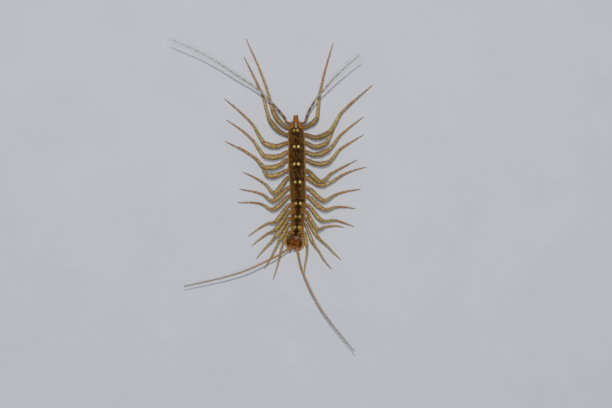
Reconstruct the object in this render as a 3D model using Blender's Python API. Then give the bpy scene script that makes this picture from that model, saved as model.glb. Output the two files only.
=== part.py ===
"""House centipede, life size, at rest with its legs spread.

The head points towards -Y, the tail towards +Y, and the feet stand on Z = 0.
All sizes below are in millimetres; MM turns them into Blender's metres.
"""

import math

import bmesh
import bpy
from mathutils import Vector

MM = 0.001

# Fit: the free space that is left between one piece and the next
GAP = 0.3

# Trunk: place along the body, sideways place of the middle line, half width
SPINE = (
    (-10.5, 5.55, 1.30),
    (-7.6, 6.10, 1.52),
    (-5.0, 6.24, 1.66),
    (-1.9, 6.38, 1.80),
    (3.2, 6.22, 1.92),
    (7.5, 6.04, 2.06),
    (11.6, 6.02, 2.00),
    (15.6, 5.88, 1.86),
    (17.8, 5.83, 1.38),
    (20.0, 5.80, 0.40),
)
PLATE_ENDS = (-9.66, -7.2, -4.66, -1.5, 3.6, 7.9, 12.05, 15.95, 17.95)
BELLY = 0.8
CREST = 3.25

# Each plate from its front to its rear: share of the length, share of the half width, rise of the crest.
# The front is tucked low and the rear stands up, as a roof tile does.
PLATE_STATIONS = (
    (0.00, 0.93, -0.16),
    (0.10, 0.975, -0.10),
    (0.35, 1.00, 0.00),
    (0.65, 1.00, 0.07),
    (0.90, 0.99, 0.14),
    (1.00, 0.94, 0.11),
)

# Plan of a plate's ends: the corners lie forward of the middle, which has a notch for the breathing slit
CORNER_SET_BACK = 0.34
NOTCH = 0.13
NOTCH_SHARE = 0.2

# Cross-section of a trunk piece, from the middle of the belly round to the middle of the back:
# share of the half width, share of the height from belly to crest
SECTION = (
    (0.00, 0.00),
    (0.48, 0.02),
    (0.80, 0.13),
    (0.96, 0.29),
    (1.00, 0.44),
    (0.94, 0.60),
    (1.00, 0.65),
    (0.985, 0.73),
    (0.80, 0.86),
    (0.54, 0.945),
    (0.27, 0.99),
    (0.00, 1.00),
)

# Tail: the last, narrow length of the body behind the last plate
TAIL_TIP = 19.45
TAIL_HALF_WIDTH = 0.68
TAIL_HEIGHT = 1.95
TAIL_SIDES = 16

# From the root of the tail to its tip: share of the length, share of the half width, half thickness
TAIL_STATIONS = (
    (0.00, 1.00, 0.62),
    (0.25, 0.86, 0.60),
    (0.60, 0.62, 0.46),
    (0.85, 0.50, 0.34),
    (1.00, 0.34, 0.22),
)

# Head, in its own frame: middle, turn about the vertical, and stations from nape to brow
HEAD_MIDDLE = (5.47, -11.39, 2.0)
HEAD_TURN = math.radians(-10.5)
HEAD_STATIONS = (
    (-1.08, 1.05, 0.62),
    (-0.90, 1.46, 0.88),
    (-0.45, 1.74, 1.06),
    (0.10, 1.80, 1.12),
    (0.60, 1.68, 1.04),
    (1.00, 1.36, 0.82),
    (1.24, 0.88, 0.50),
    (1.34, 0.40, 0.22),
)
HEAD_SQUARENESS = 2.5

EYE_OUT = 1.44
EYE_FORWARD = 0.02
EYE_UP = 0.22
EYE_RADII = (0.44, 0.62, 0.52)

# Antennae: sideways and lengthwise place, height, radius
ANTENNA_ROOT_OUT = 0.86
ANTENNA_ROOT_FORWARD = 1.75
ANTENNA_ROOT_UP = 0.15
ANTENNAE = {
    "left": (
        (6.45, -14.5, 2.75, 0.25),
        (6.8, -16.5, 3.30, 0.25),
        (8.1, -20.0, 3.90, 0.25),
        (10.0, -24.1, 4.05, 0.24),
        (12.5, -28.3, 3.85, 0.23),
        (15.5, -32.2, 3.60, 0.19),
        (19.8, -37.4, 3.45, 0.12),
    ),
    "right": (
        (3.6, -13.1, 2.65, 0.26),
        (1.9, -14.3, 3.20, 0.25),
        (-1.8, -16.1, 4.00, 0.25),
        (-6.4, -18.2, 4.20, 0.24),
        (-11.9, -19.8, 3.90, 0.22),
        (-17.2, -21.0, 3.55, 0.17),
        (-20.9, -21.8, 3.45, 0.12),
    ),
}

# Poison claws: out from the head's middle, forward, height above the floor, radius
CLAW_ROOT = (-9.5, 0.95, 0.28)
CLAW_BENDS = {
    "left": (
        (2.25, -0.35, 0.70, 0.29),
        (2.05, 0.75, 0.60, 0.27),
        (1.50, 1.45, 0.55, 0.16),
        (0.95, 1.60, 0.55, 0.08),
    ),
    "right": (
        (2.10, -0.25, 0.70, 0.29),
        (1.86, 0.75, 0.60, 0.27),
        (1.40, 1.45, 0.55, 0.16),
        (0.90, 1.55, 0.55, 0.08),
    ),
}

# Palps below the brow: out from the head's middle, forward, height above the floor, radius
PALPS = {
    "left": ((0.80, 1.50, 1.25, 0.24), (1.25, 2.05, 1.10, 0.22), (1.62, 2.35, 0.90, 0.12)),
    "right": ((0.40, 1.65, 1.25, 0.24), (0.62, 2.20, 1.05, 0.22), (0.70, 2.65, 0.80, 0.12)),
}

# Legs: place of each root along the body, from the first pair to the last
LEG_ROOTS = (-8.85, -7.05, -5.6, -4.0, -2.4, -0.3, 1.7, 4.1, 5.85, 8.35, 10.25, 12.45, 14.4, 16.2, 17.2)
ROOT_HEIGHT = 1.75
STUB = 0.25

# Walking legs, each bend as: out from the body's middle, back from the root, height.
# The bends are hip, knee, ankle, middle of the foot and tip.
MIDDLE_LINE = 6.1
TIP_HEIGHT = 0.06
WALKING = {
    "right": (
        ((2.75, -1.25, 1.68), (3.35, -2.6, 1.95), (3.9, -4.4, 1.10), (4.2, -6.5, 0.50), (5.7, -11.4)),
        ((3.0, -1.85, 2.02), (4.2, -3.6, 2.25), (5.4, -6.2, 1.05), (6.3, -8.1, 0.45), (7.8, -10.6)),
        ((3.05, -1.6, 2.12), (5.3, -4.4, 2.40), (6.8, -6.2, 1.10), (8.0, -7.5, 0.50), (9.7, -9.6)),
        ((3.1, -1.7, 2.42), (5.4, -4.4, 2.70), (6.8, -5.0, 1.15), (8.5, -6.2, 0.50), (10.8, -8.1)),
        ((3.15, -1.4, 2.20), (5.2, -4.0, 2.75), (6.8, -4.2, 1.20), (8.6, -5.2, 0.55), (11.6, -7.4)),
        ((3.1, -1.1, 1.90), (5.8, -3.2, 2.45), (8.0, -2.0, 1.30), (9.9, -1.4, 0.55), (14.0, -1.5)),
        ((3.1, -0.9, 1.90), (5.9, -3.2, 2.65), (7.9, -1.6, 1.35), (9.9, -0.9, 0.60), (13.7, -0.3)),
        ((3.2, -1.2, 1.90), (5.5, -3.8, 2.75), (7.3, -1.6, 1.35), (9.8, 0.0, 0.55), (12.9, 1.4)),
        ((4.0, -0.8, 1.90), (7.2, -1.2, 2.40), (8.5, 1.3, 1.10), (11.3, 4.1, 0.35), (14.1, 5.8)),
        ((3.8, -1.1, 2.05), (7.7, -1.8, 3.15), (9.8, 0.5, 1.60), (13.0, 2.5, 0.90), (17.2, 4.5)),
        ((3.8, -0.9, 1.85), (7.9, -0.9, 2.45), (10.3, 2.7, 1.20), (13.1, 5.3, 0.50), (16.8, 7.7)),
        ((4.6, -0.8, 1.85), (8.0, 0.1, 2.40), (10.5, 4.5, 1.20), (13.6, 7.5, 0.50), (17.4, 10.7)),
        ((4.2, 0.8, 1.95), (6.7, 3.8, 2.55), (8.1, 9.4, 1.50), (10.3, 13.9, 0.70), (12.7, 18.7)),
        ((3.7, 0.8, 2.00), (5.8, 4.0, 2.50), (7.1, 9.0, 1.45), (9.1, 14.4, 0.70), (12.2, 21.2)),
    ),
    "left": (
        ((2.05, -1.2, 1.75), (2.4, -3.4, 1.90), (2.4, -5.4, 1.00), (1.9, -7.8, 0.40), (1.8, -9.7)),
        ((2.8, -1.9, 1.85), (3.9, -4.5, 2.15), (5.2, -6.3, 1.05), (6.4, -8.6, 0.45), (8.2, -10.6)),
        ((3.15, -1.3, 1.75), (5.1, -4.5, 2.05), (6.9, -6.2, 1.10), (8.5, -8.0, 0.50), (10.5, -9.9)),
        ((3.1, -1.4, 2.40), (4.9, -4.2, 2.95), (6.7, -3.5, 1.25), (9.1, -3.3, 0.45), (11.2, -3.7)),
        ((3.6, -1.0, 1.90), (5.9, -3.7, 2.35), (9.0, -3.5, 1.15), (11.2, -4.2, 0.50), (13.5, -5.1)),
        ((3.4, -0.7, 1.90), (6.6, -3.2, 2.55), (9.1, -2.5, 1.30), (11.2, -2.5, 0.55), (13.8, -2.9)),
        ((3.5, -0.6, 1.95), (6.4, -3.1, 2.65), (9.0, -1.6, 1.35), (11.5, -0.8, 0.55), (15.1, -0.3)),
        ((3.6, -0.7, 1.70), (6.5, -1.7, 2.20), (10.4, 0.5, 1.15), (12.7, 1.6, 0.50), (16.4, 2.6)),
        ((3.4, -0.8, 2.30), (5.7, -2.8, 3.40), (7.9, -0.8, 1.60), (11.0, 0.9, 0.60), (14.4, 2.6)),
        ((3.9, -0.7, 1.85), (7.6, -0.5, 2.40), (10.1, 2.6, 1.20), (12.7, 4.2, 0.50), (15.9, 6.1)),
        ((3.8, -0.6, 1.85), (7.5, 0.5, 2.40), (10.1, 3.9, 1.20), (12.7, 6.1, 0.50), (15.9, 8.5)),
        ((4.0, -0.9, 1.85), (7.1, 0.0, 2.35), (9.2, 5.0, 1.20), (11.8, 8.8, 0.45), (14.9, 11.2)),
        ((4.3, -0.7, 2.05), (7.9, 0.8, 3.35), (10.3, 5.1, 1.80), (13.5, 8.1, 1.00), (18.0, 11.9)),
        ((2.9, 0.6, 2.00), (4.8, 2.2, 2.50), (5.4, 8.1, 1.50), (6.7, 13.7, 0.70), (8.6, 20.1)),
    ),
}

# The last pair trails behind, held clear of the floor
TRAILING = {
    "right": (
        (3.2, 1.8, 2.45),
        (5.5, 4.3, 3.50),
        (9.2, 8.0, 4.80),
        (14.7, 11.5, 6.35),
        (19.0, 14.4, 7.40),
        (23.4, 16.9, 8.10),
        (30.2, 19.8, 8.70),
    ),
    "left": (
        (2.9, 3.3, 3.05),
        (5.0, 6.2, 4.50),
        (8.2, 9.9, 6.70),
        (11.4, 13.1, 8.20),
        (14.9, 15.9, 9.00),
    ),
}
TRAILING_THICK = 0.35
TRAILING_THIN = 0.13
TRAILING_ROOT_HEIGHT = 1.65

# Leg thickness as radii at root, hip, middle of the thigh, knee, shin, ankle, foot and tip
LEG_RADII = {
    "root": 0.40,
    "hip": 0.50,
    "thigh": 0.58,
    "knee": 0.43,
    "shin": 0.38,
    "ankle": 0.29,
    "foot": 0.25,
    "tip": 0.14,
}
FRONT_LEG_SCALE = 0.66
FULL_SIZE_LEG = 9
THINNEST = 0.25

# Sag of the thigh and shin towards the head, in a front leg and in a full-sized one
THIGH_BOW = (0.18, 0.34)
SHIN_BOW = (0.10, 0.20)
MIDWAY = 0.5

# How far from a bend its curve starts: tight at the hard joints, long in the whip-like foot
STUB_EASE = 0.15
HIP_EASE = 0.35
KNEE_EASE = 0.40
BOW_EASE = 0.50
ANKLE_EASE = 1.3
FOOT_EASE = 2.2
WHIP_EASE = 2.4
PALP_EASE = 0.3

# How finely round pieces are stepped. A bend keeps its curve only where that is ROOM_TO_BEND radii wide,
# and a curve takes up at most CURVED_SHARE of the straight on either side.
SHARP_ANGLE = math.radians(50)
BOW_STEPS = 2
CORNER_STEPS = 3
FOOT_STEPS = 4
SIDES = 8
CURVED_SHARE = 0.48
ROOM_TO_BEND = 1.1
RING_ROOM = 0.03
EYE_SEGMENTS = 16
EYE_RINGS = 10
HEAD_SIDES = 24

COLOURS = {
    "plate": (0.105, 0.058, 0.020, 1.0),
    "tail": (0.36, 0.11, 0.015, 1.0),
    "head": (0.20, 0.065, 0.015, 1.0),
    "eye": (0.018, 0.010, 0.018, 1.0),
    "claw": (0.50, 0.17, 0.03, 1.0),
    "palp": (0.40, 0.30, 0.22, 1.0),
    "antenna": (0.33, 0.17, 0.09, 1.0),
    "leg": (0.32, 0.20, 0.06, 1.0),
    "trailing": (0.24, 0.20, 0.16, 1.0),
}
ROUGHNESS = {"eye": 0.22, "head": 0.38, "plate": 0.42}
PLAIN_ROUGHNESS = 0.5


def clear_scene():
    for thing in list(bpy.data.objects):
        bpy.data.objects.remove(thing)


def material(kind):
    """One finish for each kind of piece, made the first time that it is asked for."""
    found = bpy.data.materials.get(kind)
    if found:
        return found
    made = bpy.data.materials.new(kind)
    made.use_nodes = True
    shader = made.node_tree.nodes["Principled BSDF"]
    shader.inputs["Base Color"].default_value = COLOURS[kind]
    shader.inputs["Roughness"].default_value = ROUGHNESS.get(kind, PLAIN_ROUGHNESS)
    shader.inputs["Metallic"].default_value = 0.0
    return made


def place(name, mesh, kind, collection):
    """A named object in the animal's collection, smooth where its faces meet at a low angle."""
    thing = bpy.data.objects.new(name, mesh)
    collection.objects.link(thing)
    mesh.materials.clear()
    mesh.materials.append(material(kind))
    mesh.shade_smooth()
    mesh.set_sharp_from_angle(angle=SHARP_ANGLE)
    return thing


def blend_between(stations, place_along):
    """The values of a table of stations at one place, eased so that the outline has no corners."""
    last = len(stations) - 1
    for i in range(last):
        if place_along <= stations[i + 1][0] or i == last - 1:
            break
    before = stations[max(i - 1, 0)]
    start = stations[i]
    end = stations[i + 1]
    after = stations[min(i + 2, last)]
    t = min(max((place_along - start[0]) / (end[0] - start[0]), 0.0), 1.0)
    values = []
    for k in range(1, len(start)):
        slope_in = (end[k] - before[k]) / (end[0] - before[0]) * (end[0] - start[0])
        slope_out = (after[k] - start[k]) / (after[0] - start[0]) * (end[0] - start[0])
        values.append(
            (2 * t**3 - 3 * t**2 + 1) * start[k]
            + (t**3 - 2 * t**2 + t) * slope_in
            + (3 * t**2 - 2 * t**3) * end[k]
            + (t**3 - t**2) * slope_out
        )
    return values


def spine(along):
    """Sideways place of the body's middle line, and its half width, at one place along it."""
    return blend_between(SPINE, along)


def loft(rings):
    """One closed skin over a row of rings that have the same number of points, with a fan at each end."""
    shell = bmesh.new()
    rows = [[shell.verts.new(point * MM) for point in ring] for ring in rings]
    count = len(rows[0])
    for here, beyond in zip(rows, rows[1:]):
        for i in range(count):
            j = (i + 1) % count
            shell.faces.new((here[i], here[j], beyond[j], beyond[i]))
    for row in (rows[0], rows[-1]):
        hub = shell.verts.new(sum((vert.co for vert in row), Vector()) / count)
        for i in range(count):
            shell.faces.new((hub, row[i], row[(i + 1) % count]))
    bmesh.ops.recalc_face_normals(shell, faces=shell.faces)
    mesh = bpy.data.meshes.new("loft")
    shell.to_mesh(mesh)
    shell.free()
    return mesh


def plan_offset(share):
    """How far forward a plate's end lies at one share of the half width, for its corners and its notch."""
    return -CORNER_SET_BACK * share**2 - NOTCH * math.exp(-((share / NOTCH_SHARE) ** 2))


def trunk_ring(along, width_share, crest_change):
    """The outline of the trunk at one place: a round belly and flank under a raised back plate."""
    middle, half_width = spine(along)
    half_width *= width_share
    height = CREST + crest_change - BELLY
    right = [Vector((half_width * x, along + plan_offset(x), BELLY + height * z)) for x, z in SECTION]
    left = [Vector((-p.x, p.y, p.z)) for p in reversed(right[1:-1])]
    shift = Vector((middle, 0, 0))
    return [p + shift for p in right + left]


def flank(side, along, reach):
    """How far sideways the trunk's flank stands, at its widest within reach of one place."""
    widest = 0.0
    for place_along in (along - reach, along, along + reach):
        middle, half_width = spine(place_along + CORNER_SET_BACK)
        widest = max(widest, half_width + side_sign(side) * (middle - spine(along)[0]))
    return spine(along)[0] + side_sign(side) * widest


def side_sign(side):
    return 1 if side == "left" else -1


def trunk_piece(number, collection):
    """One length of the trunk, with its back plate."""
    front = PLATE_ENDS[number - 1] + GAP / 2
    rear = PLATE_ENDS[number] - GAP / 2
    rings = [trunk_ring(front + (rear - front) * t, share, rise) for t, share, rise in PLATE_STATIONS]
    return place(f"trunk_{number}", loft(rings), "plate", collection)


def tail_piece(collection):
    """The short orange cone behind the last plate."""
    front = PLATE_ENDS[-1] + GAP / 2
    rings = []
    for t, share, half_height in TAIL_STATIONS:
        along = front + (TAIL_TIP - front) * t
        middle = spine(along)[0]
        ring = []
        for i in range(TAIL_SIDES):
            angle = 2 * math.pi * i / TAIL_SIDES
            across = TAIL_HALF_WIDTH * share * math.cos(angle)
            ring.append(Vector((middle + across, along, TAIL_HEIGHT + half_height * math.sin(angle))))
        rings.append(ring)
    return place("tail", loft(rings), "tail", collection)


def in_head(out, forward, height):
    """A point of the turned head's own frame, as a place in the model. Height is above the head's middle."""
    x, y, z = HEAD_MIDDLE
    cos = math.cos(HEAD_TURN)
    sin = math.sin(HEAD_TURN)
    return Vector((x + out * cos + forward * sin, y + out * sin - forward * cos, z + height))


def power(value, exponent):
    return math.copysign(abs(value) ** exponent, value)


def head_piece(collection):
    """A broad, rounded capsule, squarer than an ellipse across, with a cup cut for each eye."""
    rings = []
    for forward, half_width, half_height in HEAD_STATIONS:
        ring = []
        for i in range(HEAD_SIDES):
            angle = 2 * math.pi * i / HEAD_SIDES
            out = half_width * power(math.cos(angle), 2 / HEAD_SQUARENESS)
            up = half_height * power(math.sin(angle), 2 / HEAD_SQUARENESS)
            ring.append(in_head(out, forward, up))
        rings.append(ring)
    head = place("head", loft(rings), "head", collection)
    for side in (-1, 1):
        cutter = ellipsoid(side, [radius + GAP for radius in EYE_RADII])
        cutters.objects.link(cutter)
        cutter.hide_render = True
        cutter.display_type = "WIRE"
        cut = head.modifiers.new("eye cup", "BOOLEAN")
        cut.operation = "DIFFERENCE"
        cut.solver = "EXACT"
        cut.object = cutter
    return head


def ellipsoid(side, radii):
    """A ball stretched to three radii and set in one side of the head."""
    ball = bmesh.new()
    bmesh.ops.create_uvsphere(ball, u_segments=EYE_SEGMENTS, v_segments=EYE_RINGS, radius=1.0)
    for vert in ball.verts:
        x, y, z = (c * r for c, r in zip(vert.co, radii))
        vert.co = in_head(side * EYE_OUT + x, EYE_FORWARD + y, EYE_UP + z) * MM
    bmesh.ops.recalc_face_normals(ball, faces=ball.faces)
    mesh = bpy.data.meshes.new("ball")
    ball.to_mesh(mesh)
    ball.free()
    return bpy.data.objects.new("eye cup", mesh)


def eye_piece(name, side, collection):
    ball = ellipsoid(side, EYE_RADII)
    mesh = ball.data
    bpy.data.objects.remove(ball)
    return place(name, mesh, "eye", collection)


def eased_path(stops):
    """Turns bends into a path: straight between them, with each corner rounded off.

    A stop is (point, radius, how far from the corner its curve starts, steps in the curve). A corner that is
    too tight for the limb's thickness becomes one mitred ring, which is marked True as one to keep.
    """
    path = [(stops[0][0], stops[0][1], True)]
    for before, here, after in zip(stops, stops[1:], stops[2:]):
        corner, radius, ease, steps = here
        arm_in = before[0] - corner
        arm_out = after[0] - corner
        reach_in = min(ease, CURVED_SHARE * arm_in.length) / arm_in.length
        reach_out = min(ease, CURVED_SHARE * arm_out.length) / arm_out.length
        half_turn = (math.pi - arm_in.angle(arm_out)) / 2
        shorter = min(reach_in * arm_in.length, reach_out * arm_out.length)
        if shorter * math.cos(half_turn) ** 2 < ROOM_TO_BEND * radius * math.sin(half_turn):
            path.append((corner, radius, True))
            continue
        start = corner + arm_in * reach_in
        end = corner + arm_out * reach_out
        start_radius = radius + (before[1] - radius) * reach_in
        end_radius = radius + (after[1] - radius) * reach_out
        for i in range(steps):
            t = i / (steps - 1)
            point = start * (1 - t) ** 2 + corner * 2 * t * (1 - t) + end * t**2
            thick = start_radius * (1 - t) ** 2 + radius * 2 * t * (1 - t) + end_radius * t**2
            path.append((point, thick, False))
    path.append((stops[-1][0], stops[-1][1], True))
    return path


def directions(points):
    """The way that a path runs at each of its points."""
    steps = [(b - a).normalized() for a, b in zip(points, points[1:])]
    return [(a + b).normalized() for a, b in zip([steps[0]] + steps, steps + [steps[-1]])]


def cut_into(one, other):
    """Whether two rings along a limb, as centre, radius and direction, reach through each other's planes."""
    step = other[0] - one[0]
    tilt = math.sqrt(max(0.0, 1 - one[2].dot(other[2]) ** 2))
    return min(step.dot(one[2]) - other[1] * tilt, step.dot(other[2]) - one[1] * tilt) < RING_ROOM


def rings_along(path):
    """The rings of a limb along its path, without those that would fold it at a tight bend."""
    ways = directions([point for point, _, _ in path])
    kept = []
    for (point, radius, firm), way in zip(path, ways):
        ring = (point, radius, way, firm)
        while firm and kept and not kept[-1][3] and cut_into(kept[-1], ring):
            kept.pop()
        if firm or not cut_into(kept[-1], ring):
            kept.append(ring)
    return kept


def tube(name, path, kind, collection):
    """A round limb along a path of points and radii, as one closed mesh."""
    rings = []
    for centre, radius, way, _ in rings_along(path):
        across = way.cross(Vector((0, 0, 1))).normalized()
        up = across.cross(way)
        angles = [2 * math.pi * i / SIDES for i in range(SIDES)]
        rings.append([centre + (across * math.cos(a) + up * math.sin(a)) * radius for a in angles])
    return place(name, loft(rings), kind, collection)


def stand_flat(limb):
    """Cuts off what reaches below the floor, so that the foot rests on a small flat."""
    foot = bmesh.new()
    foot.from_mesh(limb.data)
    everything = foot.verts[:] + foot.edges[:] + foot.faces[:]
    down = (0, 0, -1)
    cut = bmesh.ops.bisect_plane(foot, geom=everything, plane_co=(0, 0, 0), plane_no=down, clear_outer=True)
    rim = [e for e in cut["geom_cut"] if isinstance(e, bmesh.types.BMEdge)]
    bmesh.ops.contextual_create(foot, geom=rim)
    bmesh.ops.recalc_face_normals(foot, faces=foot.faces)
    foot.to_mesh(limb.data)
    foot.free()


def between_legs(front, full, number):
    """A value that changes steadily from the first leg to the first one of full size."""
    return front + (full - front) * min((number - 1) / (FULL_SIZE_LEG - 1), 1.0)


def leg_start(side, number, radius):
    """The root and the end of the short stub that carries a leg straight out of the flank."""
    along = LEG_ROOTS[number - 1]
    sign = side_sign(side)
    height = ROOT_HEIGHT if number < len(LEG_ROOTS) else TRAILING_ROOT_HEIGHT
    root = Vector((flank(side, along, radius) + sign * GAP, along, height))
    elbow = root + Vector((sign * STUB, 0, 0))
    return (root, radius, 0, 0), (elbow, radius, STUB_EASE, CORNER_STEPS)


def leg_point(side, number, bend):
    sign = side_sign(side)
    height = bend[2] if len(bend) > 2 else TIP_HEIGHT
    return Vector((MIDDLE_LINE + sign * bend[0], LEG_ROOTS[number - 1] + bend[1], height))


def walking_leg(side, number, collection):
    scale = between_legs(FRONT_LEG_SCALE, 1.0, number)
    radii = {part: max(radius * scale, min(radius, THINNEST)) for part, radius in LEG_RADII.items()}
    hip, knee, ankle, middle, tip = (leg_point(side, number, bend) for bend in WALKING[side][number - 1])
    thigh = hip.lerp(knee, MIDWAY) - Vector((0, between_legs(*THIGH_BOW, number), 0))
    shin = knee.lerp(ankle, MIDWAY) - Vector((0, between_legs(*SHIN_BOW, number), 0))
    stops = [
        *leg_start(side, number, radii["root"]),
        (hip, radii["hip"], HIP_EASE, CORNER_STEPS),
        (thigh, radii["thigh"], BOW_EASE, BOW_STEPS),
        (knee, radii["knee"], KNEE_EASE, CORNER_STEPS),
        (shin, radii["shin"], BOW_EASE, BOW_STEPS),
        (ankle, radii["ankle"], ANKLE_EASE, FOOT_STEPS),
        (middle, radii["foot"], FOOT_EASE, FOOT_STEPS),
        (tip, radii["tip"], 0, 0),
    ]
    limb = tube(f"leg_{side}_{number:02d}", eased_path(stops), "leg", collection)
    stand_flat(limb)
    return limb


def trailing_leg(side, collection):
    number = len(LEG_ROOTS)
    bends = [leg_point(side, number, bend) for bend in TRAILING[side]]
    stops = list(leg_start(side, number, TRAILING_THICK))
    for i, bend in enumerate(bends):
        t = (i + 1) / len(bends)
        radius = TRAILING_THICK + (TRAILING_THIN - TRAILING_THICK) * t
        stops.append((bend, radius, FOOT_EASE, CORNER_STEPS))
    return tube(f"leg_{side}_{number:02d}", eased_path(stops), "trailing", collection)


def antenna(side, collection):
    sign = side_sign(side)
    root = in_head(sign * ANTENNA_ROOT_OUT, ANTENNA_ROOT_FORWARD, ANTENNA_ROOT_UP)
    bends = ANTENNAE[side]
    stops = [(root, bends[0][3], 0, 0)]
    stops += [(Vector(bend[:3]), bend[3], WHIP_EASE, FOOT_STEPS) for bend in bends]
    return tube(f"antenna_{side}", eased_path(stops), "antenna", collection)


def poison_claw(side, collection):
    """The claw that grows from the first trunk piece, passes below the eye and points inwards."""
    sign = side_sign(side)
    along, height, radius = CLAW_ROOT
    root = Vector((flank(side, along, radius) + sign * GAP, along, height))
    stops = [(root, radius, 0, 0), (root + Vector((sign * STUB, 0, 0)), radius, STUB_EASE, CORNER_STEPS)]
    for out, forward, above_floor, thick in CLAW_BENDS[side]:
        bend = in_head(sign * out, forward, above_floor - HEAD_MIDDLE[2])
        stops.append((bend, thick, BOW_EASE, FOOT_STEPS))
    return tube(f"forcipule_{side}", eased_path(stops), "claw", collection)


def palp(side, collection):
    sign = side_sign(side)
    stops = []
    for out, forward, above_floor, thick in PALPS[side]:
        bend = in_head(sign * out, forward, above_floor - HEAD_MIDDLE[2])
        stops.append((bend, thick, PALP_EASE, CORNER_STEPS))
    return tube(f"palp_{side}", eased_path(stops), "palp", collection)


def build():
    animal = bpy.data.collections.new("house centipede")
    bpy.context.scene.collection.children.link(animal)
    head_piece(animal)
    tail_piece(animal)
    for number in range(1, len(PLATE_ENDS)):
        trunk_piece(number, animal)
    for side in ("left", "right"):
        eye_piece(f"eye_{side}", side_sign(side), animal)
        antenna(side, animal)
        poison_claw(side, animal)
        palp(side, animal)
        for number in range(1, len(LEG_ROOTS)):
            walking_leg(side, number, animal)
        trailing_leg(side, animal)


clear_scene()
cutters = bpy.data.collections.new("cutters")
bpy.context.scene.collection.children.link(cutters)
build()
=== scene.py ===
import math
import random

import bmesh
import bpy
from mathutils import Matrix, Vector, noise
from mathutils.kdtree import KDTree


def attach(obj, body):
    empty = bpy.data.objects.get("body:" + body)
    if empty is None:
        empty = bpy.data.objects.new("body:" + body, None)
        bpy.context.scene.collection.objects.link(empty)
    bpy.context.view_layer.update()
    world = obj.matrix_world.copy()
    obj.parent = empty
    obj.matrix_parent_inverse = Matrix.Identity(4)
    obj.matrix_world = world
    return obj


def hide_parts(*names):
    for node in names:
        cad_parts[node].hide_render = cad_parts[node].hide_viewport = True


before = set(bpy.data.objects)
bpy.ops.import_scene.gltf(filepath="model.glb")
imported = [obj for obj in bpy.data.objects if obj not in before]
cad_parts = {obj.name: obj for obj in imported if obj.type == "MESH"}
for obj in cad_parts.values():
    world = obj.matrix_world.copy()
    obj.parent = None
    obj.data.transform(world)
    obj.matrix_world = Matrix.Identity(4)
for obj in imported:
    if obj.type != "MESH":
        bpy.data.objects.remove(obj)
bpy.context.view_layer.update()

# Everything below is in millimetres, in the frame of the solids: the head points to -Y, the tail to +Y,
# the animal's own left is +X, and it stands on Z = 0.
mm = 0.001
body = "root"
gap = 0.3  # free space that the solids keep from each other

trunk = {
    # place along the body, sideways place of the middle line, half width
    "line": (
        (-10.5, 5.55, 1.30), (-7.6, 6.10, 1.52), (-5.0, 6.24, 1.66), (-1.9, 6.38, 1.80),
        (3.2, 6.22, 1.92), (7.5, 6.04, 2.06), (11.6, 6.02, 2.00), (15.6, 5.88, 1.86), (17.8, 5.83, 1.38),
        (20.0, 5.80, 0.40),
    ),
    "plateEnds": (-9.66, -7.2, -4.66, -1.5, 3.6, 7.9, 12.05, 15.95, 17.95),
    "belly": 0.8,
    "crest": 3.25,
    "rim": 2.3,  # height of the lower edge of the back plates
    "legRoots": (-8.85, -7.05, -5.6, -4.0, -2.4, -0.3, 1.7, 4.1, 5.85, 8.35, 10.25, 12.45, 14.4, 16.2, 17.2),
    "rootHeight": 1.75,
    "lastRootHeight": 1.65,
}

head = {
    "middle": (5.47, -11.39, 2.0),
    "turn": math.radians(-10.5),
    # forward of the middle, half width, half height
    "stations": (
        (-1.08, 1.05, 0.62), (-0.90, 1.46, 0.88), (-0.45, 1.74, 1.06), (0.10, 1.80, 1.12),
        (0.60, 1.68, 1.04), (1.00, 1.36, 0.82), (1.24, 0.88, 0.50), (1.34, 0.40, 0.22),
    ),
    "squareness": 2.5,
    "eye": {
        "out": 1.44,
        "forward": 0.02,
        "up": 0.24,
        "radii": (0.46, 0.64, 0.55),
        "pit": (0.62, 0.78, 0.66),  # reach of the hollow round it, in the same order
        "facetReach": 0.085,
        "facetHeight": 0.022,
    },
}


# Small number helpers
def fade(low, high, x):
    t = min(max((x - low) / (high - low), 0.0), 1.0)
    return t * t * (3 - 2 * t)


def hump(x, middle, width):
    return math.exp(-(((x - middle) / width) ** 2))


def lerp(a, b, t):
    return a + (b - a) * t


def signedPower(value, power):
    # a power below 1 makes an oval squarer
    return math.copysign(abs(value) ** power, value)


def angles(count):
    return [2 * math.pi * i / count for i in range(count)]


def tableAt(stations, x):
    # values of a table at one place, eased so that there are no corners
    last = len(stations) - 1
    i = 0
    while i < last - 1 and x > stations[i + 1][0]:
        i += 1
    before = stations[max(i - 1, 0)]
    start, end = stations[i], stations[i + 1]
    after = stations[min(i + 2, last)]
    span = end[0] - start[0]
    t = min(max((x - start[0]) / span, 0.0), 1.0)
    values = []
    for k in range(1, len(start)):
        slopeIn = (end[k] - before[k]) / (end[0] - before[0]) * span
        slopeOut = (after[k] - start[k]) / (after[0] - start[0]) * span
        values.append(
            (2 * t**3 - 3 * t**2 + 1) * start[k]
            + (t**3 - 2 * t**2 + t) * slopeIn
            + (3 * t**2 - 2 * t**3) * end[k]
            + (t**3 - t**2) * slopeOut
        )
    return values


def sideSign(side):
    return 1 if side == "left" else -1


def flankAt(side, along):
    middle, halfWidth = tableAt(trunk["line"], along)
    return middle + sideSign(side) * halfWidth


def inHead(out, forward, up):
    x, y, z = head["middle"]
    c, s = math.cos(head["turn"]), math.sin(head["turn"])
    return Vector((x + out * c + forward * s, y + out * s - forward * c, z + up))


# A shape is a bag of points, faces and painted marks, which becomes one piece at the end
def newShape(*marks):
    return {"points": [], "faces": [], "marks": {mark: [] for mark in marks}, "patches": []}


def addPoint(shape, point, marks):
    shape["points"].append(tuple(point))
    for name, values in shape["marks"].items():
        values.append(marks.get(name, 0.0))
    return len(shape["points"]) - 1


def addFace(shape, *corners, patch=None):
    shape["faces"].append(corners)
    shape["patches"].append(patch)


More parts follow.
